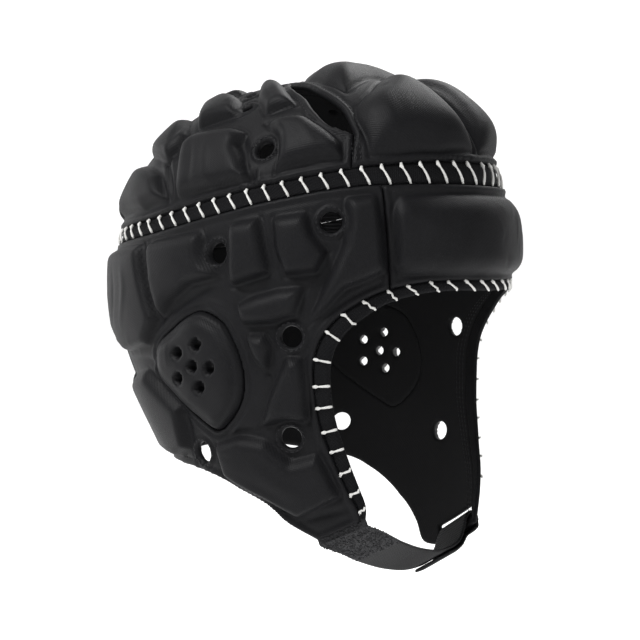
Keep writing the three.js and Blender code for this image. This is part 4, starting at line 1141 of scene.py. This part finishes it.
def pile_weave(u, v):
    return 0.5 * ((3.1 * u + 1.3 * (1.7 * v).sine()).sine() * (2.7 * v).sine())


def rib_weave(u, v):
    return 0.5 * (2 * math.pi / RIB_SPACING * u).sine() + 0.2 * (5.5 * v).sine()


loop_pile = finish(
    "nylon_pile", (0.002, 0.002, 0.0025), (0.045, 0.045, 0.048), 0.8, 1.4, 1100.0, 0.25, pile_weave, 0.9
)
ribbed_elastic = finish(
    "elastic_webbing", (0.003, 0.003, 0.0035), (0.013, 0.013, 0.014), 0.6, 0.5, 1500.0, 0.15, rib_weave, 0.4
)
tape_shares = np.linspace(0, LOOP_TAPE_SHARE, int(LOOP_TAPE_SHARE * strap_length / FINE_STEP))
tape_middles = [strap_start - away * SEWN_IN] + [strap_point(share) for share in tape_shares[1:]]
strap_tape, tape_outward = strap_band(
    "chin_strap_tape_cloth", tape_middles,
    [strap_across(share) for share in tape_shares], LOOP_TAPE_WIDTH, LOOP_TAPE_THICKNESS - 0.8, loop_pile,
    lambda u, v: 0.12 * np.sin(2.1 * u) * np.sin(1.9 * v),
)
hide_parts("chin_strap_tape")

elastic_start = LOOP_TAPE_SHARE + SEAM_GAP / strap_length
elastic_shares = np.linspace(elastic_start, 1, int((1 - LOOP_TAPE_SHARE) * strap_length / FINE_STEP))
elastic_rows = [(strap_point(share), strap_across(share)) for share in elastic_shares]
elastic_rows += [(lip_point(degrees), slot_across) for degrees in np.linspace(STRAP_LEAN, 180, 16)[1:]]
lip_foot = SLOT_HEIGHT / 2 + SLOT_LIP
foot_point = skin_row(*beside_slot(0, lip_foot), PANEL_WALL / 2 + lip_radius)
turn_end = elastic_rows[-1][0]
elastic_rows += [(turn_end + (foot_point - turn_end) * t, slot_across) for t in (0.25, 0.5, 0.75, 1)]
layer_step = ELASTIC_THICKNESS + STRAP_CLEARANCE
tail_rows = []
for back in np.arange(2 * lip_foot, FOLDED_TAIL_LENGTH + 0.1, FINE_STEP):
    share = 1 - back / strap_length
    tangent = unit(strap_point(share + 0.01) - strap_point(share - 0.01))
    across = strap_across(share)
    tail_rows.append((strap_point(share) + unit(np.cross(tangent, across)) * layer_step, across))
gap_rows = [
    (elastic_rows[-1][0] + (tail_rows[0][0] - elastic_rows[-1][0]) * t, slot_across)
    for t in (0.2, 0.4, 0.6, 0.8)
]
elastic_rows += gap_rows + tail_rows
strap_elastic, _ = strap_band(
    "chin_strap_elastic_cloth", [row[0] for row in elastic_rows], [row[1] for row in elastic_rows],
    ELASTIC_WIDTH, ELASTIC_THICKNESS - 0.4, ribbed_elastic,
    lambda u, v: RIB_DEPTH * np.sin(2 * math.pi / RIB_SPACING * u),
)
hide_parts("chin_strap_elastic")

# Pile of the loop tape. Hundreds of small nylon loops stand on both faces of the tape, tangled and
# uneven, and catch the light as pale flecks.
PILE_LOOPS = 1500
LOOP_HALF_WIDTH = 0.5
pile = bmesh.new()
draw = random.Random(21)
for _ in range(PILE_LOOPS):
    station = draw.randrange(2, len(tape_shares) - 2)
    across_by = draw.uniform(-0.48, 0.48) * LOOP_TAPE_WIDTH
    face_side = draw.choice((-1, 1))
    outward = Vector(tape_outward[station]) * face_side
    share = tape_shares[station]
    middle = Vector(strap_point(share)) + Vector(strap_across(share)) * across_by
    middle += outward * (LOOP_TAPE_THICKNESS / 2 - 0.35)
    turn = outward.to_track_quat("Z", "Y").to_matrix().to_4x4()
    spin = Matrix.Rotation(draw.uniform(0, math.pi), 4, "Z")
    tip = Matrix.Rotation(draw.uniform(-0.7, 0.7), 4, "X")
    stretch = Matrix.Diagonal((draw.uniform(0.7, 1.3), 0.28, draw.uniform(0.6, 1.2), 1))
    place = Matrix.Translation(middle) @ turn @ spin @ tip @ stretch
    bmesh.ops.create_icosphere(pile, subdivisions=1, radius=LOOP_HALF_WIDTH, matrix=place)
pile_piece = plain_piece("chin_strap_pile", pile, [loop_pile])
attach(pile_piece, "root")

# Topstitching. Rows of short black stitches hold the hems: along the slit, on the narrow strips beside
# it, round the vents, above the lower edge, inside the flaps and across the start of the strap.
STITCH_PITCH = 2.6
STITCH_LENGTH = 1.9
STITCH_RADIUS = 0.3
thread = finish(
    "black_thread", (0.006, 0.006, 0.007), (0.022, 0.022, 0.024), 0.55, 0.6, 2400.0, 0.2, None, 0.15
)
stitching = bmesh.new()


def stitch_points(points):
    """Short stitches along a line of points."""
    points = np.array(points, float)
    lengths = np.concatenate([[0], np.cumsum(np.linalg.norm(np.diff(points, axis=0), axis=1))])
    for place in np.arange(STITCH_PITCH / 2, lengths[-1], STITCH_PITCH):
        middle = Vector([float(np.interp(place, lengths, column)) for column in points.T])
        ahead = Vector([float(np.interp(place + 0.5, lengths, column)) for column in points.T]) - middle
        if ahead.length < 1e-6:
            continue
        turn = ahead.to_track_quat("Z", "Y").to_matrix().to_4x4()
        stretch = Matrix.Diagonal((STITCH_RADIUS, STITCH_RADIUS, STITCH_LENGTH / 2, 1))
        bmesh.ops.create_icosphere(
            stitching, subdivisions=1, radius=1, matrix=Matrix.Translation(middle) @ turn @ stretch
        )


def stitch_rows(flat, relief, place):
    """Stitches on the outer cloth along a flat line."""
    stitch_points(on_skin(flat, relief(flat) + 0.05, place))


def inset_line(rows, place_rows, place, side, distance):
    """A line moved sideways over the cloth, by millimetres."""
    flat = place_rows(rows, side)
    run = np.gradient(flat, axis=0)
    run /= np.linalg.norm(run, axis=1, keepdims=True)
    return flat + np.stack([run[:, 1], -run[:, 0]], -1) * distance / MM_PER_DEGREE


for side in (-1, 1):
    for rows, relief, distance in ((SLIT_FRONT_ROWS, front_relief, -3.2), (SLIT_REAR_ROWS, rear_relief, 3.2)):
        line = inset_line(smooth_line(rows), crown_chart, crown_place, side, distance * side)
        stitch_rows(line, relief, crown_place)
    for angle in (51.6, 50.3, 49.0):
        stitch_rows(crown_chart(smooth_line([(angle, 51), (angle, 58)], 3), side), front_relief, crown_place)
    vents = SIDE_VENTS + (RIGHT_VENTS if side < 0 else LEFT_VENTS)
    wider = [(angle, level, diameter + 3.2) for angle, level, diameter in vents]
    for ring in rings_of(wider, wall_chart, side, wall_place):
        stitch_rows(np.vstack([ring, ring[:1]]), side_reliefs[side], wall_place)
    crown_rings = [(angle, level, diameter + 3.2) for angle, level, diameter in CROWN_VENTS[:1]]
    for ring in rings_of(crown_rings, crown_chart, side, crown_place):
        stitch_rows(np.vstack([ring, ring[:1]]), rear_relief, crown_place)
    bottom_rows = smooth_line((RIGHT_BOTTOM_ROWS if side < 0 else LEFT_BOTTOM_ROWS)[:-1])
    hem = wall_chart(bottom_rows - (0, 2.6), side)
    stitch_rows(hem, side_reliefs[side], wall_place)
    cheek = split_at_temple(right_fold if side < 0 else left_fold)[1]
    for away_by in (2.2, 4.4, 6.6):
        line = wall_chart(cheek[2:-2] + (away_by / MM_PER_DEGREE, 0), side)
        stitch_points(on_skin(line, np.full(len(line), -0.05), wall_place))
for share in (0.015, 0.05):
    station = int(share * strap_length / FINE_STEP)
    across = strap_across(share)
    for face_side in (-1, 1):
        middle = strap_point(share) + tape_outward[station] * face_side * (LOOP_TAPE_THICKNESS / 2)
        ends = [middle + across * LOOP_TAPE_WIDTH * part for part in (-0.46, 0.46)]
        stitch_points(ends)
stitching_piece = plain_piece("topstitching", stitching, [thread])
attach(stitching_piece, "root")

# Studio. A pale floor sweeps up into a pale backdrop, large soft lamps stand over the upper left and
# behind, and the long lens looks almost level at the cap's right front.
FLOOR_HEIGHT = -0.33
SWEEP_RADIUS = 0.5
BACKDROP_DISTANCE = 1.6
BACKDROP_HEIGHT = 2.6
TARGET = Vector((0, 0.0055, -0.1176))
CAMERA_DISTANCE = 0.85
CAMERA_AZIMUTH = -55.5
CAMERA_ELEVATION = 2.0
LENS = 93.2
paper = bpy.data.materials.new("studio_paper")
paper.use_nodes = True
paper_surface = next(node for node in paper.node_tree.nodes if node.type == "BSDF_PRINCIPLED")
paper_surface.inputs["Base Color"].default_value = (0.93, 0.93, 0.93, 1)
paper_surface.inputs["Roughness"].default_value = 0.9
paper_surface.inputs["Emission Color"].default_value = (1, 1, 1, 1)
paper_surface.inputs["Emission Strength"].default_value = 0.4

azimuth, elevation = math.radians(CAMERA_AZIMUTH), math.radians(CAMERA_ELEVATION)
toward_camera = Vector((
    math.sin(azimuth) * math.cos(elevation), -math.cos(azimuth) * math.cos(elevation), math.sin(elevation),
))
sweep = bmesh.new()
bmesh.ops.create_grid(sweep, x_segments=4, y_segments=48, size=1)
level_way = Vector((toward_camera.x, toward_camera.y, 0)).normalized()
sideways = Vector((-level_way.y, level_way.x, 0))
quarter = SWEEP_RADIUS * math.pi / 2
for vertex in sweep.verts:
    run = (vertex.co.y + 1) / 2 * (2 * BACKDROP_DISTANCE + quarter + BACKDROP_HEIGHT)
    flat_run = min(run, 2 * BACKDROP_DISTANCE)
    turn = min(max(run - flat_run, 0), quarter) / SWEEP_RADIUS
    rise = max(run - 2 * BACKDROP_DISTANCE - quarter, 0)
    back = flat_run - BACKDROP_DISTANCE + SWEEP_RADIUS * math.sin(turn)
    spread = sideways * vertex.co.x * 3
    height = FLOOR_HEIGHT + SWEEP_RADIUS * (1 - math.cos(turn)) + rise
    vertex.co = spread - level_way * back + Vector((0, 0, height))
floor_mesh = bpy.data.meshes.new("studio_sweep")
for face in sweep.faces:
    face.smooth = True
sweep.to_mesh(floor_mesh)
sweep.free()
floor_mesh.materials.append(paper)
floor = bpy.data.objects.new("studio_sweep", floor_mesh)
bpy.context.collection.objects.link(floor)

# Lamps: name, place in metres from the cap towards the camera, to its left and up, size, power
LAMPS = [
    ("key", (0.5, 0.7, 1.0), 0.4, 16),
    ("front", (1.0, -0.6, 0.25), 0.8, 2.5),
    ("rim", (-0.6, -0.4, 0.9), 0.6, 7),
    ("left_rim", (-0.6, 1.1, 0.2), 0.8, 3),
]
camera_left = Vector((-math.cos(azimuth), -math.sin(azimuth), 0))
for name, (near, left, up), size, power in LAMPS:
    light = bpy.data.lights.new(name, "AREA")
    light.shape = "DISK"
    light.size = size
    light.energy = power
    lamp = bpy.data.objects.new(name, light)
    lamp.location = TARGET + level_way * near + camera_left * left + Vector((0, 0, up))
    lamp.rotation_euler = (TARGET - lamp.location).to_track_quat("-Z", "Y").to_euler()
    bpy.context.collection.objects.link(lamp)
world = bpy.data.worlds.new("studio")
world.use_nodes = True
sky = next(node for node in world.node_tree.nodes if node.type == "BACKGROUND")
sky.inputs["Color"].default_value = (1, 1, 1, 1)
sky.inputs["Strength"].default_value = 0.3
bpy.context.scene.world = world
bpy.context.scene.view_settings.view_transform = "Standard"

camera_data = bpy.data.cameras.new("camera")
camera_data.lens = LENS
camera = bpy.data.objects.new("camera", camera_data)
camera.location = TARGET + toward_camera * CAMERA_DISTANCE
camera.rotation_euler = (-toward_camera).to_track_quat("-Z", "Y").to_euler()
bpy.context.collection.objects.link(camera)
bpy.context.scene.camera = camera

bpy.context.view_layer.update()
